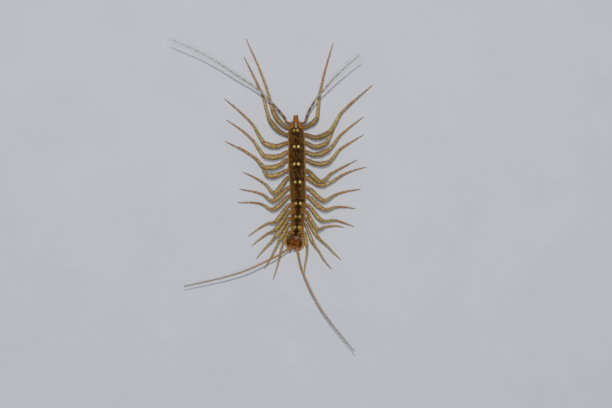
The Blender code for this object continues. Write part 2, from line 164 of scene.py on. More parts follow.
def addRings(shape, rings):
    # rings: lists of (point, marks), all of one length, skinned into a tube and closed at both ends
    rows = [[addPoint(shape, point, marks) for point, marks in ring] for ring in rings]
    count = len(rows[0])
    for here, beyond in zip(rows, rows[1:]):
        for i in range(count):
            j = (i + 1) % count
            addFace(shape, here[i], here[j], beyond[j], beyond[i])
    for row, flip in ((rows[0], True), (rows[-1], False)):
        middle = sum((Vector(shape["points"][k]) for k in row), Vector()) / count
        hub = addPoint(shape, middle, {name: shape["marks"][name][row[0]] for name in shape["marks"]})
        for i in range(count):
            j = (i + 1) % count
            corners = (hub, row[j], row[i]) if flip else (hub, row[i], row[j])
            addFace(shape, *corners)


def addThorn(shape, base, direction, length, radius, sides, marks, patch=None):
    # a closed cone with its root sunk a little into what carries it
    way = direction.normalized()
    across = way.orthogonal().normalized()
    other = way.cross(across)
    rows = []
    for centre, thick in ((base - way * radius, radius), (base + way * length * 0.55, radius * 0.6)):
        row = []
        for a in angles(sides):
            row.append(addPoint(shape, centre + (across * math.cos(a) + other * math.sin(a)) * thick, marks))
        rows.append(row)
    point = addPoint(shape, base + way * length, marks)
    for i in range(sides):
        j = (i + 1) % sides
        addFace(shape, rows[0][i], rows[0][j], rows[1][j], rows[1][i], patch=patch)
        addFace(shape, rows[1][i], rows[1][j], point, patch=patch)
    addFace(shape, *reversed(rows[0]), patch=patch)


def makePiece(shape, name, material, slot, *nodes):
    mesh = bpy.data.meshes.new(name)
    points = [(x * mm, y * mm, max(z, 0.0) * mm) for x, y, z in shape["points"]]  # none below the floor
    mesh.from_pydata(points, [], shape["faces"])
    for label, values in shape["marks"].items():
        mesh.attributes.new(label, "FLOAT", "POINT").data.foreach_set("value", values)
    if any(shape["patches"]):
        layBakeMap(mesh, shape["patches"])
    outward = bmesh.new()
    outward.from_mesh(mesh)
    bmesh.ops.recalc_face_normals(outward, faces=outward.faces)
    outward.to_mesh(mesh)
    outward.free()
    mesh.shade_smooth()
    mesh.materials.append(material)
    piece = bpy.data.objects.new(name, mesh)
    bpy.context.scene.collection.objects.link(piece)
    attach(piece, body)
    if nodes:
        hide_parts(*nodes)


def layBakeMap(mesh, patches):
    # each bristle is a small patch at its root's place on the unwrapped skin
    size = 0.003
    layer = mesh.uv_layers.new(name="OFBake")
    for face, patch in zip(mesh.polygons, patches):
        for a, loop in zip(angles(face.loop_total), face.loop_indices):
            u = patch[0] + size / 2 * math.cos(a)
            v = patch[1] + size / 2 * math.sin(a)
            layer.data[loop].uv = (min(max(u, 0.0), 1.0), min(max(v, 0.0), 1.0))


# Limbs: a path from bends, then rings along it
def easedPath(stops):
    # stops: (point, how far from the bend its curve starts); gives fine steps of (point, bend number)
    fine = 0.04
    path = []

    def straight(a, b, fromBend, toBend):
        steps = max(int((b - a).length / fine), 1)
        for i in range(steps):
            t = i / steps
            path.append((a.lerp(b, t), lerp(fromBend, toBend, t)))

    last = stops[0][0]
    lastBend = 0.0
    for i in range(1, len(stops) - 1):
        corner, ease = stops[i]
        armIn = stops[i - 1][0] - corner
        armOut = stops[i + 1][0] - corner
        reachIn = min(ease, 0.48 * armIn.length) / armIn.length
        reachOut = min(ease, 0.48 * armOut.length) / armOut.length
        start = corner + armIn * reachIn
        end = corner + armOut * reachOut
        straight(last, start, lastBend, i - reachIn)
        steps = max(int((start - end).length / fine), 4)
        for k in range(steps):
            t = k / steps
            point = start * (1 - t) ** 2 + corner * 2 * t * (1 - t) + end * t**2
            bend = (i - reachIn) * (1 - t) ** 2 + i * 2 * t * (1 - t) + (i + reachOut) * t**2
            path.append((point, bend))
        last, lastBend = end, i + reachOut
    straight(last, stops[-1][0], lastBend, len(stops) - 1.0)
    path.append((stops[-1][0], len(stops) - 1.0))
    return path


def measured(path):
    # adds the distance from the root to each step of a path
    total = 0.0
    steps = [(path[0][0], path[0][1], 0.0)]
    for before, here in zip(path, path[1:]):
        total += (here[0] - before[0]).length
        steps.append((here[0], here[1], total))
    return steps


def distanceOfBend(steps, bend):
    for _, number, along in steps:
        if number >= bend:
            return along
    return steps[-1][2]


def stationsAlong(steps, spacingAt):
    # picks steps so far apart as spacingAt(bend) says, each with the way that the limb runs there
    picked = []
    wanted = 0.0
    for i, (point, bend, along) in enumerate(steps):
        if along + 1e-9 < wanted and i < len(steps) - 1:
            continue
        before = steps[max(i - 3, 0)][0]
        after = steps[min(i + 3, len(steps) - 1)][0]
        picked.append((point, bend, along, (after - before).normalized()))
        wanted = along + spacingAt(bend)
    return picked


def limbFrame(way):
    across = way.cross(Vector((0, 0, 1))).normalized()
    return across, across.cross(way)


def limbOut(way, a):
    # the way that points off a limb at one angle round it
    across, up = limbFrame(way)
    return across * math.cos(a) + up * math.sin(a)


def limbRings(stations, radiusAt, shapeAt, sides):
    # radiusAt(bend, along) is the thickness, shapeAt(bend, along, angle) a factor on it round the limb
    rings = []
    for point, bend, along, way in stations:
        across, up = limbFrame(way)
        radius = radiusAt(bend, along)
        ring = []
        for a in angles(sides):
            out = across * math.cos(a) + up * math.sin(a)
            place = point + out * radius * shapeAt(bend, along, a)
            # the last mark tells how far a point faces the head, away from the key light; the legs paint
            # shade by it
            ring.append((place, {"bend": bend, "along": along, "top": out.z, "awayFromLight": -out.y}))
        rings.append(ring)
    return rings


def evenRound(bend, along, a):
    return 1.0


def paintsOf(rings):
    return [painted for ring in rings for place, painted in ring]


def ringPhase(along, start, length):
    # how far a place is through one of the fine rings of a foot or feeler, 0 to 1
    return ((along - start) / length) % 1.0


def segmentEnds(joints):
    # at each joint a limb swells a little, then is pinched where the next segment starts
    def factor(along):
        value = 1.0
        for joint, depth in joints:
            swell = depth * 0.55 * hump(along, joint - 0.20, 0.15)
            pinch = depth * hump(along, joint + 0.03, 0.075)
            value *= 1 + swell - pinch
        return value

    return factor


def pinchedAt(steps, joints):
    # joints: (bend number, depth)
    return segmentEnds([(distanceOfBend(steps, bend), depth) for bend, depth in joints])


# Materials: small helpers, then one function for each finish
def newFinish(name, look):
    material = bpy.data.materials.new(name)
    material.use_nodes = True
    tree = material.node_tree
    shader = next(node for node in tree.nodes if node.type == "BSDF_PRINCIPLED")
    for socket, value in look.items():
        shader.inputs[socket].default_value = hexColour(value) if isinstance(value, str) else value
    return material, tree, shader


def hexColour(text):
    # "#RRGGBB" as a linear colour
    values = []
    for i in (1, 3, 5):
        value = int(text[i : i + 2], 16) / 255
        values.append(value / 12.92 if value <= 0.04045 else ((value + 0.055) / 1.055) ** 2.4)
    return (*values, 1.0)


def mark(tree, name):
    node = tree.nodes.new("ShaderNodeAttribute")
    node.attribute_name = name
    return node.outputs["Fac"]


def modelPlace(tree, stretch=(1, 1, 1)):
    # places in millimetres
    coordinates = tree.nodes.new("ShaderNodeTexCoord")
    mapping = tree.nodes.new("ShaderNodeMapping")
    mapping.inputs["Scale"].default_value = [1000 * s for s in stretch]
    tree.links.new(coordinates.outputs["Object"], mapping.inputs["Vector"])
    return mapping.outputs["Vector"]


def speckle(tree, scale, detail=4.0, rough=0.55, stretch=(1, 1, 1)):
    node = tree.nodes.new("ShaderNodeTexNoise")
    node.inputs["Scale"].default_value = scale
    node.inputs["Detail"].default_value = detail
    node.inputs["Roughness"].default_value = rough
    tree.links.new(modelPlace(tree, stretch), node.inputs["Vector"])
    return node.outputs["Fac"]


def cells(tree, scale):
    node = tree.nodes.new("ShaderNodeTexVoronoi")
    node.inputs["Scale"].default_value = scale
    tree.links.new(modelPlace(tree), node.inputs["Vector"])
    return node.outputs["Distance"]


def fadeNode(tree, value, low, high, least=0.0, most=1.0):
    node = tree.nodes.new("ShaderNodeMapRange")
    node.interpolation_type = "SMOOTHSTEP"
    for socket, number in (("From Min", low), ("From Max", high), ("To Min", least), ("To Max", most)):
        node.inputs[socket].default_value = number
    tree.links.new(value, node.inputs["Value"])
    return node.outputs["Result"]


def sums(tree, operation, first, second=0.0):
    node = tree.nodes.new("ShaderNodeMath")
    node.operation = operation
    for socket, value in zip(node.inputs, (first, second)):
        if isinstance(value, (int, float)):
            socket.default_value = value
        else:
            tree.links.new(value, socket)
    return node.outputs["Value"]


def colourRamp(tree, value, stops):
    node = tree.nodes.new("ShaderNodeValToRGB")
    ramp = node.color_ramp
    while len(ramp.elements) < len(stops):
        ramp.elements.new(1.0)
    for element, (position, colour) in zip(ramp.elements, stops):
        element.position = position
        element.color = hexColour(colour)
    tree.links.new(value, node.inputs["Fac"])
    return node.outputs["Color"]


def blendColours(tree, factor, first, second):
    node = tree.nodes.new("ShaderNodeMix")
    node.data_type = "RGBA"
    for socket, value in ((node.inputs[0], factor), (node.inputs[6], first), (node.inputs[7], second)):
        if isinstance(value, str):
            socket.default_value = hexColour(value)
        else:
            tree.links.new(value, socket)
    return node.outputs[2]


def layered(tree, colour, layers):
    # each layer lays a colour over the ones before it, by a painted mark or a pattern;
    # with (low, high, most) it fades in as that rises from low to high, up to the share most
    for tint, pattern, *limits in layers:
        share = mark(tree, pattern) if isinstance(pattern, str) else pattern
        if limits:
            low, high, most = limits
            share = fadeNode(tree, share, low, high, 0.0, most)
        colour = blendColours(tree, share, colour, tint)
    return colour


def markShare(tree, name, full):
    return sums(tree, "DIVIDE", mark(tree, name), full)


def wandering(tree, value, scale, detail, amount):
    # a value that strays a little, so that no edge is ruled
    stray = sums(tree, "SUBTRACT", speckle(tree, scale, detail), 0.5)
    return sums(tree, "ADD", value, sums(tree, "MULTIPLY", stray, amount))


def relief(tree, shader, height, distance, strength):
    bump = tree.nodes.new("ShaderNodeBump")
    bump.inputs["Strength"].default_value = strength
    bump.inputs["Distance"].default_value = distance * mm
    tree.links.new(height, bump.inputs["Height"])
    tree.links.new(bump.outputs["Normal"], shader.inputs["Normal"])


def giveColour(tree, shader, colour):
    tree.links.new(colour, shader.inputs["Base Color"])


def roughen(tree, shader, scale, least, most):
    tree.links.new(fadeNode(tree, speckle(tree, scale), 0.3, 0.7, least, most), shader.inputs["Roughness"])


def plateFinish():
    # dark middle strip, brown flanks, tan margins, pale twin spots and a velvety grain
    look = {"Roughness": 0.5, "Specular IOR Level": 0.11, "Specular Tint": "#B07838"}
    material, tree, shader = newFinish("back plate", look)
    across = mark(tree, "across")
    base = colourRamp(
        tree,
        wandering(tree, sums(tree, "ABSOLUTE", across), 1.3, 3.0, 0.34),
        (
            (0.0, "#2C1A08"), (0.13, "#35210B"), (0.30, "#4A2E12"), (0.60, "#5C3E1A"), (0.84, "#6E4E28"),
            (0.95, "#94744A"), (1.0, "#A88A60"),
        ),
    )
    layers = (
        ("#674318", across, 0.15, -0.8, 0.5),  # one flank is a warmer brown than the other
        ("#584030", across, 0.2, 0.75, 0.3),
        ("#8A6434", speckle(tree, 1.6, 6.0, 0.72), 0.50, 0.60, 0.7),
        ("#2C1820", speckle(tree, 2.0, 5.0, 0.72), 0.50, 0.58, 0.75),
        ("#A27438", "tan"),
        ("#1E100C", "dark"),
        ("#1A0E08", speckle(tree, 9.0, 3.0, 0.6), 0.54, 0.68, 0.45),
        ("#E2CC72", "spot"),
        ("#D0B88E", "pale"),
        ("#B88E4C", "rim"),
        ("#B6702A", "tawny"),
    )
    giveColour(tree, shader, layered(tree, base, layers))
    grain = sums(tree, "ADD", speckle(tree, 14.0, 3.0, 0.6), sums(tree, "MULTIPLY", cells(tree, 7.0), 0.5))
    relief(tree, shader, grain, 0.035, 0.7)
    roughen(tree, shader, 5.0, 0.42, 0.62)
    return material


def skinFinish():
    # the leathery flank and belly
    look = {"Roughness": 0.6, "Specular IOR Level": 0.2, "Specular Tint": "#B08050"}
    material, tree, shader = newFinish("trunk skin", look)
    stops = ((0.0, "#9B8468"), (0.4, "#866648"), (0.75, "#644530"), (1.0, "#523424"))
    layers = (
        ("#3E2620", speckle(tree, 2.2, 5.0, 0.65), 0.45, 0.65, 0.6),
        ("#94703C", "coxa"),
        ("#422410", "shade"),
        ("#B89A8C", "nape"),
    )
    giveColour(tree, shader, layered(tree, colourRamp(tree, mark(tree, "height"), stops), layers))
    creases = speckle(tree, 6.0, 5.0, 0.65, (0.6, 2.2, 1.0))
    relief(tree, shader, sums(tree, "ADD", creases, sums(tree, "MULTIPLY", cells(tree, 9.0), 0.4)), 0.05, 0.8)
    return material


def headFinish():
    # orange brown with a redder middle, dark patches at the back and a pale bit on the neck
    look = {"Roughness": 0.4, "Specular IOR Level": 0.13, "Specular Tint": "#C07830"}
    material, tree, shader = newFinish("head capsule", look)
    stops = ((0.34, "#4E2E14"), (0.46, "#6A4019"), (0.58, "#83521F"), (0.72, "#9A6A30"))
    layers = (
        ("#642A02", "red"),
        ("#4C2E1A", "dark"),
        ("#A38F86", "pale"),
        ("#36200E", speckle(tree, 8.0, 4.0, 0.65), 0.53, 0.68, 0.5),
        ("#A8713A", "brow"),
    )
    giveColour(tree, shader, layered(tree, colourRamp(tree, speckle(tree, 1.9, 5.0, 0.6), stops), layers))
    relief(tree, shader, sums(tree, "ADD", speckle(tree, 12.0), cells(tree, 8.0)), 0.025, 0.6)
    return material


def eyeFinish():
    look = {"Roughness": 0.24, "Specular IOR Level": 0.2, "Specular Tint": "#D09058"}
    look |= {"Coat Weight": 0.1, "Coat Roughness": 0.15}
    material, tree, shader = newFinish("compound eye", look)
    facets = colourRamp(tree, mark(tree, "facet"), ((0.0, "#583418"), (0.55, "#3A1F10"), (1.0, "#1E0F09")))
    layers = (("#6E4220", speckle(tree, 1.6, 3.0), 0.45, 0.68, 0.65),)
    giveColour(tree, shader, layered(tree, facets, layers))
    return material


def clawFinish():
    # bright orange, running to a dark hard point
    look = {"Roughness": 0.34, "Coat Weight": 0.12, "Coat Roughness": 0.25}
    material, tree, shader = newFinish("poison claw", look)
    base = colourRamp(
        tree,
        markShare(tree, "bend", 5.0),
        (
            (0.0, "#84541F"), (0.2, "#A67624"), (0.45, "#BC8A28"), (0.72, "#C8862A"), (0.86, "#905018"),
            (1.0, "#22120B"),
        ),
    )
    layers = (("#7A5A2C", speckle(tree, 3.6, 5.0, 0.6), 0.48, 0.7, 0.45),)
    giveColour(tree, shader, layered(tree, base, layers))
    relief(tree, shader, speckle(tree, 13.0), 0.02, 0.6)
    return material


def palpFinish():
    material, tree, shader = newFinish("palp", {"Roughness": 0.5})
    stops = ((0.0, "#9A7140"), (0.4, "#A08660"), (1.0, "#B4A68C"))
    layers = (("#6B5A50", speckle(tree, 6.0), 0.5, 0.7, 0.4),)
    giveColour(tree, shader, layered(tree, colourRamp(tree, markShare(tree, "bend", 3.0), stops), layers))
    relief(tree, shader, speckle(tree, 14.0), 0.02, 0.6)
    return material


def antennaFinish():
    # orange brown at the root, running to grey, with a fine dark ring at each joint
    material, tree, shader = newFinish("antenna", {"Roughness": 0.5})
    base = colourRamp(
        tree,
        markShare(tree, "along", 30.0),
        (
            (0.0, "#B06A2C"), (0.12, "#C08240"), (0.35, "#BC8E54"), (0.55, "#AE9268"), (0.8, "#968A78"),
            (1.0, "#8C8680"),
        ),
    )
    layers = (
        ("#867024", "olive"),
        ("#4E3B30", "ring"),
        ("#B08A5C", speckle(tree, 2.2), 0.45, 0.7, 0.35),
    )
    giveColour(tree, shader, layered(tree, base, layers))
    relief(tree, shader, speckle(tree, 12.0), 0.02, 0.6)
    return material


def legFinish():
    # the colours run along each leg: mark "bend" is 0 at the root, 4 at the knee and 8 at the tip
    material, tree, shader = newFinish("leg", {"Roughness": 0.46})
    base = colourRamp(
        tree,
        wandering(tree, markShare(tree, "bend", 8.0), 1.1, 2.0, 0.03),
        (
            (0.0, "#A0662E"), (0.125, "#A8743A"), (0.22, "#A28A44"), (0.25, "#B27E38"), (0.29, "#A68C44"),
            (0.45, "#AC8C3C"), (0.49, "#C4862E"), (0.53, "#BAA65E"), (0.64, "#BAA464"), (0.73, "#BE9E5E"),
            (0.77, "#C89852"), (0.86, "#C8965A"), (0.94, "#BCA084"), (1.0, "#A8988C"),
        ),
    )
    flecks = fadeNode(tree, speckle(tree, 2.2, 7.0, 0.78), 0.44, 0.60)
    greyAndPaintedShade = fadeNode(tree, speckle(tree, 1.6, 7.0, 0.76), 0.42, 0.56)
    layers = (
        ("#DCC26C", sums(tree, "MULTIPLY", mark(tree, "fleck"), flecks)),
        ("#B86E2C", speckle(tree, 1.1, 6.0, 0.74), 0.48, 0.62, 0.6),
        # a grey-olive tint, with painted shade on the side of the thighs and shins that faces away from the
        # key light; also the dark spurs and claws
        ("#5A564A", sums(tree, "MULTIPLY", mark(tree, "greyAndPaintedShade"), greyAndPaintedShade)),
        ("#5E4630", "ring"),
        ("#604A26", speckle(tree, 2.4, 7.0, 0.78), 0.50, 0.60, 0.76),
        ("#EAD694", speckle(tree, 1.9, 6.0, 0.75), 0.46, 0.36, 0.8),
        ("#A85A1E", speckle(tree, 1.5, 6.0, 0.74), 0.52, 0.64, 0.5),
        ("#4A3418", cells(tree, 5.5), 0.20, 0.08, 0.5),
        ("#5A4A2C", "dim"),
        ("#B4A67A", "wan"),
    )
    giveColour(tree, shader, layered(tree, base, layers))
    relief(tree, shader, sums(tree, "ADD", speckle(tree, 12.0), cells(tree, 6.0)), 0.03, 0.7)
    roughen(tree, shader, 4.0, 0.36, 0.56)
    return material


def trailingFinish():
    # banded brown and pale grey, fading out to pale
    material, tree, shader = newFinish("trailing leg", {"Roughness": 0.5})
    bandLength, fullLength = 1.9, 36.0
    wave = sums(tree, "SINE", sums(tree, "MULTIPLY", mark(tree, "along"), 2 * math.pi / bandLength))
    bands = fadeNode(tree, wandering(tree, wave, 0.8, 2.0, 2.4), -0.6, 0.9)
    darker = colourRamp(
        tree,
        markShare(tree, "along", fullLength),
        (
            (0.0, "#84502A"), (0.1, "#6E4A34"), (0.2, "#6A5C50"), (0.3, "#A09A8E"), (0.6, "#B2AFA8"),
            (1.0, "#BEBEBE"),
        ),
    )
    lighter = colourRamp(
        tree,
        markShare(tree, "along", fullLength),
        (
            (0.0, "#A8743C"), (0.1, "#A0825C"), (0.2, "#B0A28C"), (0.3, "#C4BEB0"), (0.7, "#CCCAC4"),
            (1.0, "#D2D2D2"),
        ),
    )
    banded = blendColours(tree, bands, darker, lighter)
    giveColour(tree, shader, layered(tree, banded, (("#7A6E62", "ring"),)))
    relief(tree, shader, speckle(tree, 12.0), 0.02, 0.6)
    return material


def tailFinish():
    look = {"Roughness": 0.42, "Specular IOR Level": 0.2, "Specular Tint": "#C08040"}
    material, tree, shader = newFinish("tail cone", look)
    stops = ((0.34, "#743208"), (0.5, "#94480F"), (0.66, "#B0641F"))
    base = colourRamp(tree, speckle(tree, 2.5, 5.0, 0.6), stops)
    giveColour(tree, shader, layered(tree, base, (("#B9A489", "pale"),)))
    relief(tree, shader, sums(tree, "ADD", speckle(tree, 11.0), cells(tree, 8.0)), 0.03, 0.7)
    return material


def bristleFinish():
    material, tree, shader = newFinish("bristles", {"Roughness": 0.5})
    giveColour(tree, shader, colourRamp(tree, speckle(tree, 1.2), ((0.35, "#4A3420"), (0.65, "#7A5E3A"))))
    return material


def floorFinish():
    # pale smooth paint with a barely visible grain
    material, tree, shader = newFinish("pale floor", {"Roughness": 0.75, "Specular IOR Level": 0.15})
    giveColour(tree, shader, colourRamp(tree, speckle(tree, 0.05, 3.0), ((0.3, "#CDCFD5"), (0.7, "#D1D3D8"))))
    relief(tree, shader, speckle(tree, 1.5, 4.0), 0.02, 0.25)
    return material


finishes = {
    "plate": plateFinish(),
    "skin": skinFinish(),
    "head": headFinish(),
    "eye": eyeFinish(),
    "claw": clawFinish(),
    "palp": palpFinish(),
    "antenna": antennaFinish(),
    "leg": legFinish(),
    "trailing": trailingFinish(),
    "tail": tailFinish(),
    "bristle": bristleFinish(),
}
print("finishes made:", len(finishes))


# Trunk: one skin from the neck to the tail, under eight separate back plates
skin = {
    "share": 0.9,  # its width as a share of the plates' width
    "top": 2.82,
    "middleHeight": 1.72,
    "neck": (-10.95, -10.3, -9.3),  # start, and where the neck widens into the trunk
    "neckMiddle": 5.72,
    "neckWidth": 1.6,
    "neckTop": 2.45,
    "neckBottom": 1.25,
    "napeSpot": ((6.1, 0.34), (-10.1, 0.24)),  # a pale spot on the neck: place and spread, sideways and along
    "neckPatches": ((4.75, 0.42), (6.75, 0.36)),  # two dark patches: place and spread sideways
    "neckPatchesAt": (-9.85, 0.36),  # and along
    "rear": 18.35,
    "rearClose": 2.2,  # length over which the skin narrows to its rear end
    "rearLeft": (0.45, 0.35),  # what is left there of its width and top, and of its depth
    "step": 0.085,
    "sides": 56,
    "coxaBulge": 0.16,
    "coxaReach": 0.62,
    "grooveDepth": 0.10,
    "grooveReach": 0.22,
    "wrinkle": 0.028,
}


def skinRing(along):
    start, narrow, wide = skin["neck"]
    middle, halfWidth = tableAt(trunk["line"], along)
    opened = fade(narrow, wide, along)
    closed = fade(skin["rear"] + 0.05, skin["rear"] - skin["rearClose"], along)
    leftAcross, leftBelow = skin["rearLeft"]
    width = lerp(skin["neckWidth"], halfWidth * skin["share"], opened) * lerp(leftAcross, 1.0, closed)
    top = lerp(skin["neckTop"], skin["top"], opened) - skin["middleHeight"]
    top *= lerp(leftAcross, 1.0, closed)
    bottom = skin["middleHeight"] - lerp(skin["neckBottom"], trunk["belly"], opened)
    bottom *= lerp(leftBelow, 1.0, closed)
    nearest = min(trunk["legRoots"], key=lambda root: abs(root - along))
    atCoxa = hump(along, nearest, skin["coxaReach"]) * opened * closed
    groove = 1 - fade(0.0, skin["grooveReach"], min(abs(along - end) for end in trunk["plateEnds"]))
    middle = lerp(skin["neckMiddle"], middle, fade(start, wide, along))
    spotAcross, spotAlong = skin["napeSpot"]
    ring = []
    for a in angles(skin["sides"]):
        c, s = math.cos(a), math.sin(a)
        out = signedPower(c, 0.78 if s < 0 else 0.9)
        up = signedPower(s, 0.72 if s < 0 else 0.9)
        atSide = hump(s, -0.05, 0.42)
        sternite = max(-s, 0.0) ** 2
        swell = skin["coxaBulge"] * atCoxa * atSide - skin["grooveDepth"] * groove * (0.5 * atSide + sternite)
        wrinkle = skin["wrinkle"] * math.sin(along * 21 + 3 * c) * (0.4 + atSide)
        x = middle + out * (width + swell + wrinkle)
        z = skin["middleHeight"] + up * ((top if s > 0 else bottom) + (swell if s < 0 else 0.0))
        level = (z - trunk["belly"]) / (skin["top"] - trunk["belly"])
        onTop = max(s, 0.0)
        painted = {"height": level, "coxa": max(0.75 * atCoxa * atSide, 0.6 * (1 - opened))}
        painted["nape"] = 0.6 * hump(x, *spotAcross) * hump(along, *spotAlong) * onTop
        patch = max(hump(x, *place) for place in skin["neckPatches"])
        painted["shade"] = 0.9 * patch * hump(along, *skin["neckPatchesAt"]) * onTop
        ring.append((Vector((x, along, z)), painted))
    return ring


def makeTrunkSkin():
    shape = newShape("height", "coxa", "nape", "shade")
    start = skin["neck"][0]
    steps = int((skin["rear"] - start) / skin["step"])
    rings = [skinRing(start + (skin["rear"] - start) * i / steps) for i in range(steps + 1)]
    addRings(shape, rings)
    covered = [f"trunk_{number}" for number in range(1, len(trunk["plateEnds"]))]
    makePiece(shape, "trunkSkin", finishes["skin"], "back_plate", *covered)


plates = {
    "thickness": 0.10,
    "tuck": 0.36,  # how far each plate starts beneath the one before it
    "overhang": 0.13,
    "cornerSetBack": 0.34,
    "notch": 0.15,
    "notchShare": 0.17,
    # along the plate: share of the width, change of the crest
    "stations": (
        (0.0, 0.92, -0.22), (0.10, 0.98, -0.12), (0.35, 1.03, 0.0), (0.65, 1.03, 0.06),
        (0.90, 1.01, 0.12), (1.0, 0.955, 0.09),
    ),
    # the pale pairs of plates 1 to 7: how far each spot is from their middle, and how far that lies aside
    "spotOut": (0.47, 0.49, 0.52, 0.58, 0.49, 0.50, 0.40),
    "spotShift": (0.06, 0.04, -0.01, 0.02, -0.10, -0.07, -0.04),
    "spotBack": 0.44,
    "spotSize": (0.30, 0.35),
    "spotStrength": (0.5, 0.5, 0.75, 0.9, 1.0, 1.0, 0.6),
    "spotSides": {-1: (1.0, 0.86), 1: (1.14, 1.0)},  # size and brightness of the right and the left spots
    # a dark patch before each spot: out from the middle, how far before it, spread sideways and along
    "darkPatch": (0.42, 0.95, 0.75, 0.33),
    "rim": (0.88, 0.84, 0.945),  # how strong, and where across the plate it starts and is full
    "tan": (0.95, 0.28, 0.5, 0.1, 0.0, 0.0, 0.08, 0.6),  # how much tan each plate has
    "deep": (0.0, 0.12, 0.0, 0.05, 0.12, 0.22, 0.16, 0.0),  # and how much it is darkened
    "across": 64,
    "step": 0.075,
}


def platePoint(number, v, a):
    # one point of a back plate's upper side, and what is painted there
    ends = trunk["plateEnds"]
    last = number == len(ends) - 1
    front = ends[number - 1] + (0.1 if number == 1 else -plates["tuck"])
    rear = ends[number] + plates["overhang"]
    along = lerp(front, rear, v)
    middle, halfWidth = tableAt(trunk["line"], along)
    share, rise = tableAt(plates["stations"], v)
    if last:
        share *= lerp(1.0, 0.62, fade(0.15, 1.1, v))
        rise -= 0.14 * fade(0.4, 1.0, v)
    c, s = math.cos(a), math.sin(a)
    edge = abs(c)
    backSet = plates["cornerSetBack"] * c * c
    if not last:
        backSet += plates["notch"] * hump(c, 0.0, plates["notchShare"]) * fade(0.55, 1.0, v)
    if number == 1:
        backSet = lerp(-0.25 * c * c + 0.1, backSet, fade(0.0, 0.7, v))
    # relief: a saddle with a fine seam in it, muscle marks, a raised hem with a gutter inside it, a keel
    saddle = 0.0
    if number > 2 and not last:
        saddle = 0.075 * hump(c, 0.0, 0.13) * fade(0.72, 0.93, v)
        saddle -= 0.07 * hump(c, 0.0, 0.022) * fade(0.8, 0.9, v)
    muscle = -0.035 * hump(edge, 0.34, 0.12) * hump(v, 0.42, 0.22)
    hem = 0.045 * fade(0.93, 0.985, edge) + 0.03 * fade(0.93, 0.975, v)
    gutter = -0.03 * hump(edge, 0.90, 0.035) - 0.025 * hump(v, 0.90, 0.025)
    keel = 0.03 * hump(c, 0.0, 0.05)
    weather = 0.035 * noise.noise(Vector((c * halfWidth * 1.4, along * 1.1, number * 3.7)))
    crown = trunk["crest"] + rise - trunk["rim"]
    lift = saddle + muscle + hem + gutter + keel + weather
    x = middle + halfWidth * share * c
    y = along - backSet
    z = trunk["rim"] + crown * s**0.95 + lift
    spot = dark = pale = tawny = 0.0
    if last:
        pale = 0.75 * hump(c, 0.0, 0.15) * fade(0.14, 0.3, v) * fade(0.9, 0.7, v)
        tawny = max(0.85 * fade(0.42, 0.72, edge), 0.7 * fade(0.7, 0.92, v))
    else:
        shift, apart = plates["spotShift"][number - 1], plates["spotOut"][number - 1]
        spotWide, spotLong = plates["spotSize"]
        darkOut, before, darkWide, darkLong = plates["darkPatch"]
        fromRow = y - ends[number] + plates["spotBack"]
        for side, (larger, brighter) in plates["spotSides"].items():
            aside = (x - middle - shift - side * apart) / spotWide
            fromSpot = math.hypot(aside, fromRow / spotLong) / larger
            bright = plates["spotStrength"][number - 1] * brighter
            spot = max(spot, bright * (1 - fade(0.55, 1.15, fromSpot)))
            fromDark = math.hypot((x - middle - side * darkOut) / darkWide, (fromRow + before) / darkLong)
            dark = max(dark, 0.75 * (1 - fade(0.4, 1.2, fromDark)))
        dark = max(dark, 0.6 * fade(0.9, 0.97, v) * (1 - spot), 0.5 * (1 - fade(0.14, 0.24, v)))
        dark = max(dark, 0.85 * hump(c, 0.0, 0.05) * fade(0.6, 0.8, v))
    strong, rimStart, rimFull = plates["rim"]
    tan = plates["tan"][number - 1] * fade(0.18, 0.55, edge)
    painted = {"across": c, "tan": tan, "spot": spot, "dark": max(dark, plates["deep"][number - 1])}
    painted |= {"rim": strong * fade(rimStart, rimFull, edge), "pale": pale, "tawny": tawny}
    return Vector((x, y, z)), painted


def makeBackPlate(number):
    length = trunk["plateEnds"][number] - trunk["plateEnds"][number - 1]
    rows = int(length / plates["step"])
    columns = plates["across"]
    shape = newShape("across", "tan", "spot", "dark", "rim", "pale", "tawny")
    upper, lower = [], []
    for j in range(rows + 1):
        v = j / rows
        upperRow, lowerRow = [], []
        for i in range(columns + 1):
            a = math.pi * i / columns
            point, painted = platePoint(number, v, a)
            upperRow.append(addPoint(shape, point, painted))
            # the underside lies down and a little inwards from the upper side
            inward = Vector((-math.cos(a) * 0.6, 0, -0.4 - 0.6 * math.sin(a))).normalized()
            lowerRow.append(addPoint(shape, point + inward * plates["thickness"], painted))
        upper.append(upperRow)
        lower.append(lowerRow)
    for j in range(rows):
        for i in range(columns):
            addFace(shape, upper[j][i], upper[j][i + 1], upper[j + 1][i + 1], upper[j + 1][i])
            addFace(shape, lower[j][i], lower[j + 1][i], lower[j + 1][i + 1], lower[j][i + 1])
    for i in range(columns):
        addFace(shape, upper[0][i + 1], upper[0][i], lower[0][i], lower[0][i + 1])
        addFace(shape, upper[rows][i], upper[rows][i + 1], lower[rows][i + 1], lower[rows][i])
    for j in range(rows):
        addFace(shape, upper[j][0], upper[j + 1][0], lower[j + 1][0], lower[j][0])
        addFace(shape, upper[j + 1][columns], upper[j][columns], lower[j][columns], lower[j + 1][columns])
    makePiece(shape, f"backPlate{number}", finishes["plate"], "back_plate")


makeTrunkSkin()
for number in range(1, len(trunk["plateEnds"])):
    makeBackPlate(number)
print("trunk skin and back plates made")


# Head: a broad capsule with sutures, antenna sockets and a pit round each eye
capsule = {
    "rings": 96,
    "sides": 112,
    "rear": -1.16,
    "front": 1.36,
    "turnOver": 0.03,  # share of the length over which each end is rounded off
    "endSize": 0.82,  # and how wide it still is there
    "socket": (0.80, 1.12, 0.2),  # out, forward and up to where a feeler leaves the head
    "clypeus": 0.07,
}


